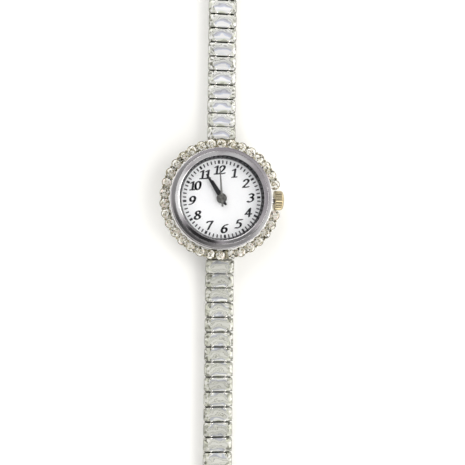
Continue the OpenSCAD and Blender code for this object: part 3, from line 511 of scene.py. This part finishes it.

# The bezel: a turned and polished ring that snaps on over the dial, its inner band rolled over the lens's
# edge. From outside in it has a thin flange, two rounded bands with a groove between, and a wall with ribs
# whose near-black plating is painted shade and painted dark reflection.
bezel_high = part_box("bezel")[1]
bezel_r = bezel_high.x
lens_low, lens_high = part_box("crystal_lens")
lens_r = lens_high.x
seat_r = lens_r + 0.2 * mm
ledge_r = lens_r - 0.15 * mm
view_r = lens_r - 0.6 * mm
foot_r = view_r + 0.12 * mm
lip_r = lens_r - 0.1 * mm
lip_z = lens_high.z + 0.02 * mm
flange_w, flange_t, flange_ease = 0.24 * mm, 0.3 * mm, 0.08 * mm
flange_z = dial_top + flange_t
groove_r, groove_w, groove_d = 10.2 * mm, 0.08 * mm, 0.2 * mm
band_z = bezel_high.z - 0.34 * mm
bezel_sides = 240


def band(inner, outer, low_in, low_out, dome, shoulder, count=10):
    """Points over a band from its outer edge to its inner one: round shoulders and a low dome between."""
    points = []
    for far, foot, side in ((outer, low_out, 1), (inner, low_in, -1)):
        arc = [(far - side * shoulder * (1 - math.cos(a)), foot - shoulder * (1 - math.sin(a)))
               for a in (math.radians(x) for x in (0, 25, 50, 72))]
        points.append(arc if side > 0 else arc[::-1])
    (from_r, from_z), (to_r, to_z) = points[0][-1], points[1][0]
    middle = [(from_r + (to_r - from_r) * t, from_z + (to_z - from_z) * t + dome * 4 * t * (1 - t))
              for t in (k / count for k in range(1, count))]
    return [*points[0], *middle, *points[1]]


outer_band = band(groove_r + groove_w / 2, bezel_r - flange_w, band_z, band_z - 0.06 * mm,
                  dome=0.008 * mm, shoulder=0.05 * mm)
inner_band = band(lip_r, groove_r - groove_w / 2, lip_z + 0.02 * mm, bezel_high.z - 0.02 * mm,
                  dome=0.012 * mm, shoulder=0.04 * mm)
form = bmesh.new()
turned(form, [(foot_r, dial_top), (bezel_r, dial_top), (bezel_r, dial_top + flange_t * 0.7),
              (bezel_r - flange_ease, flange_z), (bezel_r - flange_w, flange_z + 0.02 * mm), *outer_band,
              (groove_r, band_z - groove_d), *inner_band, (lip_r, lip_z), (seat_r, lip_z),
              (seat_r, lens_low.z), (ledge_r, lens_low.z)], bezel_sides)
bezel = piece_from(form, "polished_bezel", plated, sharp=40)

# The wall above the flange is coloured dark brown
brown_step = metal("tarnished_silver", (0.20, 0.165, 0.14), (0.10, 0.08, 0.065), (0.25, 0.4), grain=3000)
bezel.data.materials.append(brown_step)
for face in bezel.data.polygons:
    if abs(face.center.xy.length - (bezel_r - flange_w)) < 0.03 * mm and abs(face.normal.z) < 0.5:
        face.material_index = 1
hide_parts("bezel")
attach(bezel, "case")

# The wall and its ribs take a near-black plating: painted shade, and a painted dark reflection of the
# bezel's underside.
wall_painted_shade = metal("wall_plating", (0.11, 0.11, 0.115), (0.06, 0.06, 0.063), (0.16, 0.28), grain=3000)
rib_w, rib_t, ribs = 0.13 * mm, 0.07 * mm, 210
wall_foot, wall_top, wall_t = view_r + 0.04 * mm, lens_r - 0.17 * mm, 0.1 * mm
wall_low, wall_high = dial_top + 0.02 * mm, lens_low.z - 0.02 * mm
form = bmesh.new()
turned(form, [(wall_foot, wall_low), (wall_foot + wall_t, wall_low), (wall_top + wall_t, wall_high),
              (wall_top, wall_high)], ribs)
wall = piece_from(form, "inner_wall", wall_painted_shade, sharp=40)
form = bmesh.new()
rings = []
for far, up in ((0, 0.04 * mm), (wall_top - wall_foot, lens_low.z - dial_top - 0.04 * mm)):
    corners = (far, -rib_w / 2, up), (far - rib_t, 0, up), (far, rib_w / 2, up)
    rings.append([form.verts.new(corner) for corner in corners])
loft(form, rings)
bmesh.ops.recalc_face_normals(form, faces=form.faces)
coin_edge = ring_of("coin_edge", prop(form, "rib"), ribs, wall_foot + 0.01 * mm, dial_top, wall_painted_shade,
                    sharp=5)
for piece in (wall, coin_edge):
    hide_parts("bezel")
    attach(piece, "case")

# The lens: flat mineral glass, ground flat and bevelled at its rim. It lies in the bezel's seat, where a
# thin soft ring holds and seals it, and shows only a little haze.
glass, surface, add, feed = shader("mineral_glass")
place = add("ShaderNodeTexCoord").outputs["Object"]
smear = add("ShaderNodeTexNoise", Vector=place, Scale=300.0, Detail=5.0).outputs["Fac"]
haze = add("ShaderNodeMapRange", Value=smear, To_Min=0.01, To_Max=0.05)
feed(surface.inputs["Roughness"], haze.outputs["Result"])
surface.inputs["Base Color"].default_value = (0.93, 0.97, 0.97, 1)
surface.inputs["Transmission Weight"].default_value = 1.0
surface.inputs["Alpha"].default_value = 0.08
bevel = 0.12 * mm
lens_sides = 160
steps = (lens_r, lens_low.z), (lens_r, lens_high.z - bevel), (lens_r - bevel, lens_high.z)
form = bmesh.new()
loft(form, [circle(form, r, z, lens_sides) for r, z in steps])
lens = piece_from(form, "flat_lens", glass, sharp=20)
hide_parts("crystal_lens")
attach(lens, "case")

# The ring of stones: thirty-two round brilliants of champagne glass, foiled behind, each in a cup of a
# soldered chain. Beads between the cups hold the stones' edges, and two places at the crown are left out.
ring_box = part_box("ring_settings")
stone_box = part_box("ring_stones")
stone_r = 1.025 * mm
cup_r = 1.135 * mm
bead_r = 0.25 * mm
crown_share, back_share = 0.34, 0.72
ring_r = ring_box[1].y - cup_r
ring_foot = ring_box[0].z
girdle_z = stone_box[0].z + back_share * stone_r
places, first_place, kept = 34, 1, 32
half_step = math.pi / places


def cut_glass(name, tints):
    """Foiled cut glass: every facet's colour is a painted reflection, its own tint of the foil thrown back,
    under a clear hard gloss.
    """
    material, surface, add, feed = shader(name)
    flash = add("ShaderNodeAttribute", {"attribute_name": "flash"}).outputs["Fac"]
    feed(surface.inputs["Base Color"], ramp(add, flash, *tints, steps=True))
    wear = add("ShaderNodeMapRange", Value=flash, To_Min=0.0, To_Max=0.08)
    feed(surface.inputs["Roughness"], wear.outputs["Result"])
    surface.inputs["Transmission Weight"].default_value = 0.06
    surface.inputs["IOR"].default_value = 1.6
    return material


def stone_ring(share, height, count, offset):
    """Corners round the stone at shares of its radius, turned by a share of their spacing."""
    return [form.verts.new((stone_r * share * math.cos(a), stone_r * share * math.sin(a), stone_r * height))
            for a in ((k + offset) * math.tau / count for k in range(count))]


# A brilliant: its table shows the pavilion's eight mains, round it lie stars, kites and girdle facets
form = bmesh.new()
heart = form.verts.new((0, 0, crown_share * stone_r))
inner = stone_ring(0.27, crown_share, 8, 0)
table = stone_ring(0.56, crown_share, 8, 0.5)
stars = stone_ring(0.76, 0.24, 8, 0)
top = stone_ring(1.0, 0.04, 16, 0)
base = stone_ring(1.0, -0.04, 16, 0)
mains = stone_ring(0.42, -0.46, 8, 0.5)
tip = form.verts.new((0, 0, -back_share * stone_r))
for i in range(8):
    j = (i + 1) % 8
    for corners in ((heart, inner[i], inner[j]), (inner[i], table[i], inner[j]),
                    (inner[j], table[i], table[j]), (table[i], stars[j], table[j]),
                    (table[i], stars[i], top[2 * i + 1], stars[j]),
                    (stars[i], top[2 * i], top[2 * i + 1]), (stars[j], top[2 * i + 1], top[2 * j]),
                    (base[2 * i], mains[i], base[2 * i + 1]), (base[2 * i + 1], mains[i], base[2 * j]),
                    (base[2 * j], mains[j], tip, mains[i])):
        form.faces.new(corners)
for i in range(16):
    j = (i + 1) % 16
    form.faces.new((base[i], base[j], top[j], top[i]))
bmesh.ops.recalc_face_normals(form, faces=form.faces)
brilliant = prop(form, "brilliant")

# A cup is drawn up to just over the stone's girdle, and has a small hole in its foot
cup_h = girdle_z + 0.1 * mm - ring_foot
foot_hole, cup_bore, rim_ease, cup_sides = 0.2 * mm, stone_r + 0.02 * mm, 0.05 * mm, 28
form = bmesh.new()
turned(form, [(foot_hole, 0.1 * mm), (cup_r - 0.3 * mm, 0), (cup_r, 0.7 * mm), (cup_r, cup_h - rim_ease),
              (cup_r - rim_ease, cup_h), (cup_bore, cup_h - 0.02 * mm), (cup_bore, cup_h - 0.17 * mm),
              (foot_hole, cup_h - 0.9 * mm)], cup_sides)
cup = prop(form, "round_cup")

# A bead is a post with a domed head, pushed over the edges of two stones
bead_h = cup_h + 0.16 * mm
head_h = bead_r * 0.8
bead_sides = 14
steps = [(bead_r * 0.9, 0.1 * mm)]
steps += [(bead_r * math.cos(t), bead_h - head_h + head_h * math.sin(t)) for t in (0, 0.4, 0.8, 1.2)]
form = bmesh.new()
loft(form, [circle(form, r, z, bead_sides) for r, z in steps])
bead = prop(form, "bead")
# The cups' and beads' plating is darkened to olive brown: its own warm plating, and painted shade for the
# deep gaps between the stones.
chain_gold_painted_shade = metal("warm_plating", (0.42, 0.39, 0.29), (0.16, 0.15, 0.10), (0.1, 0.24), grain=3000)
champagne = cut_glass("champagne_glass", (
    (0.0, (0.04, 0.035, 0.015)), (0.1, (0.27, 0.24, 0.14)), (0.22, (0.52, 0.49, 0.36)),
    (0.42, (0.78, 0.76, 0.66)), (0.64, (0.94, 0.94, 0.88)), (0.92, (0.84, 0.72, 0.64))))

# A bead stands where it cuts a little into both of its cups, inside or outside the ring's middle line
bead_bite = 0.05 * mm
bead_off = math.sqrt((cup_r + bead_r - bead_bite) ** 2 - (ring_r * math.sin(half_step)) ** 2)
bead_mid = ring_r * math.cos(half_step)
cups = ring_of("ring_cups", cup, places, ring_r, ring_foot, chain_gold_painted_shade, first_place, kept, start=half_step)
inner_beads = ring_of("inner_beads", bead, places, bead_mid - bead_off, ring_foot, chain_gold_painted_shade,
                      first_place + 1, kept - 1, tilt=0.03, seed=2)
outer_beads = ring_of("outer_beads", bead, places, bead_mid + bead_off, ring_foot, chain_gold_painted_shade,
                      first_place + 1, kept - 1, tilt=0.03, seed=3)
stones = ring_of("champagne_stones", brilliant, places, ring_r, girdle_z, champagne, first_place, kept,
                 start=half_step, tilt=0.06, seed=5, sharp=5)
for piece in (cups, inner_beads, outer_beads):
    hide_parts("ring_settings")
    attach(piece, "case")
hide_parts("ring_stones")
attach(stones, "case")

# The crown: a gilt brass button, pressed on the stem, that sets the hands. It is cut with flutes for the
# fingers and rounded at its outer end. Its steps are shares of its radius, its length and the flutes' depth.
crown_low, crown_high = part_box("crown")
crown_r = crown_high.y
crown_l = crown_high.x - crown_low.x
crown_z = (crown_low.z + crown_high.z) / 2
flutes, corners_a_flute, flute_depth, flute_swell = 24, 8, 0.13 * mm, 0.7
steps = [(0.84, 0.0, 0.3), (0.93, 0.02, 0.8), (1.0, 0.09, 1.0), (1.0, 0.70, 1.0), (0.97, 0.80, 0.9),
         (0.88, 0.90, 0.6), (0.72, 0.965, 0.2), (0.5, 0.99, 0.0), (0.2, 1.0, 0.0)]
along_crown = Matrix.Translation((crown_low.x, 0, crown_z)) @ Matrix.Rotation(math.pi / 2, 4, "Y")
form = bmesh.new()
rings = []
for share, far, deep in steps:
    ring = []
    for k in range(flutes * corners_a_flute):
        a = k * math.tau / (flutes * corners_a_flute)
        r = crown_r * share - flute_depth * deep * (0.5 + 0.5 * math.cos(flutes * a)) ** flute_swell
        ring.append(form.verts.new(along_crown @ Vector((r * math.cos(a), r * math.sin(a), crown_l * far))))
    rings.append(ring)
loft(form, rings)
bmesh.ops.recalc_face_normals(form, faces=form.faces)
crown_gold = metal("crown_gilding", (0.49, 0.43, 0.29), (0.34, 0.285, 0.175), (0.16, 0.3), grain=3000,
                   along=(1, 6, 6), scratch=0.1)
button = piece_from(form, "fluted_crown", crown_gold, sharp=35)
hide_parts("crown")
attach(button, "crown")

# The links: pressed and plated cups, each with a pair of hinge eyes at its outer end and ears with a pin at
# its inner end. A clear step-cut crystal, foiled behind, lies on the ledge in each cup under four claws.
hinges = {j["name"]: Vector(j["pos_m"]) for j in frame["record"]["behaviour"]["joints"] if "pos_m" in j}


def run_of(side, end):
    """The hinges of one side of the bracelet, in order, with the name of the body that each one carries."""
    links = sorted(n for n in frame["bodies"] if n.startswith(side + "_"))
    return [(body, hinges[body + "_hinge"]) for body in [*links, end]]


upper = run_of("upper", "ladder")
lower = run_of("lower", "clasp_base")
flat = 4
flat_body, flat_hinge = upper[flat]
pitch = (upper[flat + 1][1] - flat_hinge).length

# The setting is taken from a link that lies flat: what hangs together with its lowest corner is its metal
whole = slabs(frame["nodes"][flat_body.replace("_", "_link_")].data)
bmesh.ops.translate(whole, verts=whole.verts, vec=-flat_hinge)
low_vert = min(whole.verts, key=lambda v: v.co.z)
metal_part = {low_vert}
edge_of_part = [low_vert]
while edge_of_part:
    for edge in edge_of_part.pop().link_edges:
        for vert in edge.verts:
            if vert not in metal_part:
                metal_part.add(vert)
                edge_of_part.append(vert)
bmesh.ops.delete(whole, geom=[v for v in whole.verts if v not in metal_part], context="VERTS")
setting = broken_edges(piece_from(whole, "link_setting", None), width=0.035 * mm)

# The claws are rounded over the crystal's edge by the setter's tool, and plated near white: a painted
# highlight, so they show bright across the dark gaps. The three links next to the case fold closest
# together, so theirs are shorter.
cup_rim = 1.45 * mm
claw_x, claw_y, claw_z = 1.47 * mm, 1.34 * mm, cup_rim + 0.19 * mm
claw_w, claw_h, short_claw, long_claw = 0.34 * mm, 0.145 * mm, 0.145 * mm, 0.23 * mm
short_links = 3
claws = []
for reach in (short_claw, long_claw):
    form = bmesh.new()
    for x in (-claw_x, claw_x):
        for y in (pitch / 2 - claw_y, pitch / 2 + claw_y):
            head = Matrix.Translation((x, y, claw_z)) @ Matrix.Diagonal((claw_w, reach, claw_h, 1))
            bmesh.ops.create_icosphere(form, subdivisions=2, radius=1.0, matrix=head)
    claws.append(piece_from(form, "link_claws", None))

# Crystal of a link: its outline has eased corners, its crown two steps and a table, and its back a keel
crystal_w, crystal_l, corner = 6.24 * mm, 2.94 * mm, 0.55 * mm
crown_h, back_h = 0.52 * mm, 1.1 * mm
girdle = cup_rim + 0.01 * mm
form = bmesh.new()
cut_map = form.loops.layers.uv.new("cut")


def outline(in_x, in_y, cut, z, steps=2):
    """A rectangle with faceted corners, anticlockwise from the right end's lower corner."""
    x, y = crystal_w / 2 - in_x, crystal_l / 2 - in_y
    ring = []
    for sx, sy, start in ((1, -1, -90), (1, 1, 0), (-1, 1, 90), (-1, -1, 180)):
        for k in range(steps + 1):
            a = math.radians(start + 90 * k / steps)
            ring.append(form.verts.new((sx * (x - cut) + cut * math.cos(a),
                                        pitch / 2 + sy * (y - cut) + cut * math.sin(a), z)))
    return ring


# From below: a fold of the back, its upper end, both edges of the girdle, the crown's step, and the table
rings = [outline(0.1 * crystal_w, 0.22 * crystal_l, corner * 0.6, girdle - 0.6 * back_h),
         outline(0.16 * mm, 0.16 * mm, corner, girdle - 0.05 * mm),
         outline(0, 0, corner, girdle), outline(0, 0, corner, girdle + 0.08 * mm),
         outline(0.03 * crystal_w, 0.07 * crystal_l, corner * 0.9, girdle + crown_h * 0.6),
         outline(0.1 * crystal_w, 0.2 * crystal_l, corner * 0.7, girdle + crown_h)]
loft(form, rings, closed=False)
form.faces.new(rings[-1])
keel = [form.verts.new((x * crystal_w * 0.24, pitch / 2, girdle - back_h)) for x in (1, -1)]
for i, here in enumerate(rings[0]):
    there = rings[0][(i + 1) % len(rings[0])]
    ends = [keel[0] if v.co.x > 0 else keel[1] for v in (here, there)]
    form.faces.new([there, here, ends[0]] if ends[0] is ends[1] else [there, here, ends[0], ends[1]])
bmesh.ops.recalc_face_normals(form, faces=form.faces)
for face in form.faces:
    for loop in face.loops:
        loop[cut_map].uv = (loop.vert.co.x / crystal_w * 2, (loop.vert.co.y - pitch / 2) / crystal_l * 2)
crystal = piece_from(form, "link_crystal", None, sharp=5)

# Painted reflections of what the back's facets throw up through the table: bands that bow across the
# middle, and small bright triangles with dark specks at both ends. Each crystal has them at its own height.
ice, surface, add, feed = shader("clear_crystal")
calc = kit(ice.node_tree)[2]
across = add("ShaderNodeUVMap", {"uv_map": "cut"}).outputs[0]
u, v, _ = add("ShaderNodeSeparateXYZ", Vector=across).outputs
lot = add("ShaderNodeAttribute", {"attribute_name": "lot"}).outputs["Fac"]
flash = add("ShaderNodeAttribute", {"attribute_name": "flash"}).outputs["Fac"]
which_side = calc("SIGN", lot)
apart = add("ShaderNodeCombineXYZ", X=calc("MULTIPLY", lot, 37.0)).outputs[0]
own = add("ShaderNodeVectorMath", _0=across, _1=apart).outputs[0]
waver = add("ShaderNodeTexNoise", Vector=own, Scale=1.6, Detail=0.0).outputs["Fac"]
bow = calc("MULTIPLY_ADD", calc("MULTIPLY", u, u), 1.1, calc("MULTIPLY", v, which_side))
ripple = add("ShaderNodeTexNoise", Vector=own, Scale=5.0, Detail=1.0).outputs["Fac"]
height = calc("ADD", calc("MULTIPLY_ADD", ripple, 0.3, bow),
              calc("MULTIPLY_ADD", waver, 0.9, calc("MULTIPLY_ADD", calc("ABSOLUTE", lot), 0.5, -0.85)))
level = add("ShaderNodeMapRange", {"clamp": False}, Value=height, From_Min=-1.2, From_Max=1.6)
finer = calc("MULTIPLY_ADD", which_side, -0.5, 1.5)
bands = ramp(add, calc("PINGPONG", calc("MULTIPLY", level.outputs["Result"], finer), 1.0),
             (0.0, (0.56, 0.58, 0.50)), (0.09, (0.88, 0.91, 0.78)), (0.15, (0.92, 0.95, 0.97)),
             (0.22, (1.0, 1.0, 1.0)), (0.36, (0.74, 0.80, 0.92)), (0.41, (0.62, 0.63, 0.72)),
             (0.49, (0.50, 0.51, 0.55)), (0.55, (0.82, 0.84, 0.82)), (0.61, (0.54, 0.54, 0.52)),
             (0.65, (0.92, 0.93, 0.91)), (0.72, (0.34, 0.35, 0.31)), (0.74, (0.86, 0.87, 0.82)),
             (0.82, (0.50, 0.50, 0.48)), (0.87, (0.90, 0.91, 0.89)), steps=True)
narrow = add("ShaderNodeMapping", Vector=own, Scale=(2.6, 1.2, 1.0)).outputs[0]
cells = add("ShaderNodeTexVoronoi", Vector=narrow, Scale=2.6).outputs["Color"]
ends = ramp(add, add("ShaderNodeSeparateXYZ", Vector=cells).outputs[0], (0.0, (0.24, 0.24, 0.20)),
            (0.12, (0.48, 0.49, 0.43)), (0.34, (0.76, 0.77, 0.70)), (0.58, (0.97, 0.97, 0.96)),
            (0.86, (0.83, 0.85, 0.74)), steps=True)
at_end = calc("GREATER_THAN", calc("MULTIPLY_ADD", calc("ABSOLUTE", v), 0.25, calc("ABSOLUTE", u)), 0.72)
shown = add("ShaderNodeMix", {"data_type": "RGBA"}, Factor=at_end, _6=bands, _7=ends)
# The lower side's crystals are painted darker and a little warmer, painted shade for the side that the light
# reaches less; flash makes each crystal's painted reflections lighter or darker.
shade = calc("MULTIPLY_ADD", which_side, 0.07, calc("MULTIPLY_ADD", flash, 0.22, 0.66))
warm = calc("MULTIPLY", shade, calc("MULTIPLY_ADD", which_side, 0.025, 0.955))
tone = add("ShaderNodeCombineXYZ", X=shade, Y=shade, Z=warm).outputs[0]
toned = add("ShaderNodeMix", {"data_type": "RGBA", "blend_type": "MULTIPLY"}, Factor=1.0,
            _6=shown.outputs[2], _7=tone)
feed(surface.inputs["Base Color"], toned.outputs[2])
wear = add("ShaderNodeMapRange", Value=flash, To_Min=0.0, To_Max=0.06)
feed(surface.inputs["Roughness"], wear.outputs["Result"])
surface.inputs["Metallic"].default_value = 0.05
surface.inputs["Transmission Weight"].default_value = 0.1
surface.inputs["IOR"].default_value = 1.6

# The tree lays a part in the place of one link: turned to its side, sloped, and moved to its hinge
hinge_tree, given, add, _, close = plan("part_at_hinge", "Side turn", "Hinge place", "Facet seed", "Lot",
                                        "Part finish")
laid = add("GeometryNodeTransform", Geometry=given["Geometry"], Translation=given["Hinge place"],
           Rotation=given["Side turn"])
flashed = add("GeometryNodeStoreNamedAttribute", {"data_type": "FLOAT", "domain": "FACE"}, Geometry=laid,
              Name="flash", Value=chance(add, 0.0, 1.0, given["Facet seed"]))
lotted = add("GeometryNodeStoreNamedAttribute", {"data_type": "FLOAT", "domain": "FACE"}, Geometry=flashed,
             Name="lot", Value=given["Lot"])
close(lotted, given["Part finish"])

# The links' plating is painted darker than the case's, as painted shade for the deep gaps between the
# settings.
bright = metal("link_plating", (0.50, 0.50, 0.46), (0.30, 0.30, 0.26), (0.08, 0.2), grain=3000)
claw_painted_highlight = metal("claw_plating", (0.95, 0.94, 0.89), (0.86, 0.85, 0.79), (0.2, 0.34), grain=3000)

# A link's lot tells its crystal's pattern from the others': above 0 on the upper side, below 0 on the lower.
# Steps of the golden ratio keep the lots of neighbours apart. The seeds run both ways from the middle one.
golden, middle_seed = 0.618, 50
for way, side in ((1, upper), (-1, lower)):
    for number, ((body, hinge), (_, following)) in enumerate(zip(side, side[1:])):
        slope = -math.asin((hinge.z - following.z) / pitch)
        set_at = dict(Side_turn=(slope, 0, 0 if way > 0 else math.pi), Hinge_place=hinge,
                      Facet_seed=number * way + middle_seed,
                      Lot=way * (0.1 + 0.9 * (golden * (number + 3) % 1.0)))
        for end, part, finish, sharp in (("_setting", setting, bright, 30), ("_crystal", crystal, ice, 5),
                                         ("_claws", claws[number >= short_links], claw_painted_highlight, 30)):
            piece = grown(hinge_tree, body + end, part.data, sharp, Part_finish=finish, **set_at)
            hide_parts(body.replace("_", "_link_"))
            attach(piece, body)
for loose in (setting, crystal, *claws):
    bpy.data.objects.remove(loose)

# The clasp: a pierced ladder on the upper end lies in a channel of folded sheet on the lower end, and a
# hinged cover with two teeth snaps down over it. All of it is plated sheet with its edges broken, in the
# links' plating, which is painted darker as shade.
for node, name in (("ladder", "pierced_ladder"), ("clasp_base", "clasp_channel"),
                   ("clasp_cover", "clasp_lid")):
    polished_copy(node, name, bright, width=0.05 * mm)

# The floor, lights and camera: a white sweep in a tent of thin cloth, lit most from the right, and a camera
# that looks down on the dial through the opening in the top of the tent.
sweep, surface, add, feed = shader("white_sweep")
place = add("ShaderNodeTexCoord").outputs["Object"]
grain = add("ShaderNodeTexNoise", Vector=place, Scale=40.0).outputs["Fac"]
feed(surface.inputs["Base Color"], ramp(add, grain, (0.3, (0.93, 0.93, 0.89)), (0.7, (0.94, 0.94, 0.90))))
surface.inputs["Roughness"].default_value = 0.9
surface.inputs["Emission Color"].default_value = (1, 1, 1, 1)
surface.inputs["Emission Strength"].default_value = 0.11
floor_half = 0.8
form = bmesh.new()
bmesh.ops.create_grid(form, x_segments=8, y_segments=8, size=floor_half)
piece_from(form, "floor", sweep)

# The tent: white cloth low down, the dim opening above with the camera's pale front in it, and a few shapes
# at its rim that show in the bezel. Each has an azimuth, a tilt from the zenith, a half-width, a soft edge
# and a tone, and fades out low down, where the cloth stays white.
world = bpy.data.worlds.new("studio")
bpy.context.scene.world = world
world.use_nodes = True
add, feed, calc = kit(world.node_tree)
way = add("ShaderNodeTexCoord").outputs["Generated"]
rise = add("ShaderNodeSeparateXYZ", Vector=way).outputs["Z"]
clutter = add("ShaderNodeTexNoise", Vector=way, Scale=2.6, Detail=2.0).outputs["Fac"]
cloth = ramp(add, rise, (0.0, (1.3, 1.3, 1.3)), (0.5, (1.15, 1.15, 1.15)), (0.66, (0.50, 0.49, 0.50)),
             (0.8, (0.44, 0.42, 0.44)), (0.95, (0.48, 0.46, 0.48)), (0.98, (0.36, 0.35, 0.34)))
things = ramp(add, clutter, (0.42, (0.78, 0.76, 0.78)), (0.56, (1.12, 1.11, 1.10)))
sky = add("ShaderNodeMix", {"data_type": "RGBA", "blend_type": "MULTIPLY"}, Factor=1.0, _6=cloth,
          _7=things).outputs[2]
high = add("ShaderNodeMapRange", Value=rise, From_Min=0.12, From_Max=0.4).outputs["Result"]
for azimuth, tilt, spread, soft, tone in (
        (225, 75, 42, 14, 0.36), (8, 35, 15, 2, 0.88), (60, 37, 11, 2, 0.02), (212, 6.5, 8, 2, 0.08),
        (-3, 16, 5, 2, 0.7), (255, 27, 11, 2, 0.66), (305, 28, 10, 2, 0.58), (103, 33, 9, 2, 0.2),
        (126, 14, 6, 2, 0.3), (325, 11, 5, 2, 0.3)):
    round_z, down = math.radians(azimuth), math.radians(tilt)
    toward = math.sin(down) * math.cos(round_z), math.sin(down) * math.sin(round_z), math.cos(down)
    near = add("ShaderNodeVectorMath", {"operation": "DOT_PRODUCT"}, _0=way, _1=toward).outputs["Value"]
    inside = add("ShaderNodeMapRange", Value=near, From_Min=math.cos(math.radians(spread + soft)),
                 From_Max=math.cos(math.radians(spread - soft))).outputs["Result"]
    sky = add("ShaderNodeMix", {"data_type": "RGBA"}, Factor=calc("MULTIPLY", inside, high), _6=sky,
              _7=(tone, tone, tone, 1)).outputs[2]
feed(world.node_tree.nodes["Background"].inputs["Color"], sky)


def softbox(name, at, size, glow, colour=(1, 1, 1)):
    """A square lamp of a given brightness that faces the watch."""
    lamp = bpy.data.lights.new(name, "AREA")
    lamp.size, lamp.energy, lamp.color = size, glow * math.pi * size ** 2, colour
    box = bpy.data.objects.new(name, lamp)
    box.location = at
    box.rotation_euler = (-Vector(at)).to_track_quat("-Z", "Y").to_euler()
    bpy.context.collection.objects.link(box)


softbox("key", (0.95, -0.05, 0.5), size=1.0, glow=2.6, colour=(1.0, 0.99, 0.97))
softbox("south_east", (0.45, -0.95, 0.4), size=0.8, glow=1.9)
softbox("north_west", (-0.4, 0.85, 0.45), size=0.8, glow=2.6)
softbox("west", (-0.95, -0.1, 0.55), size=0.8, glow=1.0)

eye = Vector((-9.74, -13.47, 129.44)) * mm
aim = Vector((2.81, -7.331, 2.0)) * mm
up_hint = Vector((-0.0156, 0.9988, 0.0466))
photo_px, focal_px = 465, 567
view = bpy.data.cameras.new("view")
view.lens = view.sensor_width * focal_px / photo_px
view.clip_start = 0.01
camera = bpy.data.objects.new("camera", view)
forward = (aim - eye).normalized()
side = forward.cross(up_hint).normalized()
over = side.cross(forward)
camera.matrix_world = Matrix.Translation(eye) @ Matrix((side, over, -forward)).transposed().to_4x4()
bpy.context.collection.objects.link(camera)
bpy.context.scene.camera = camera
bpy.context.scene.view_settings.view_transform = "Standard"
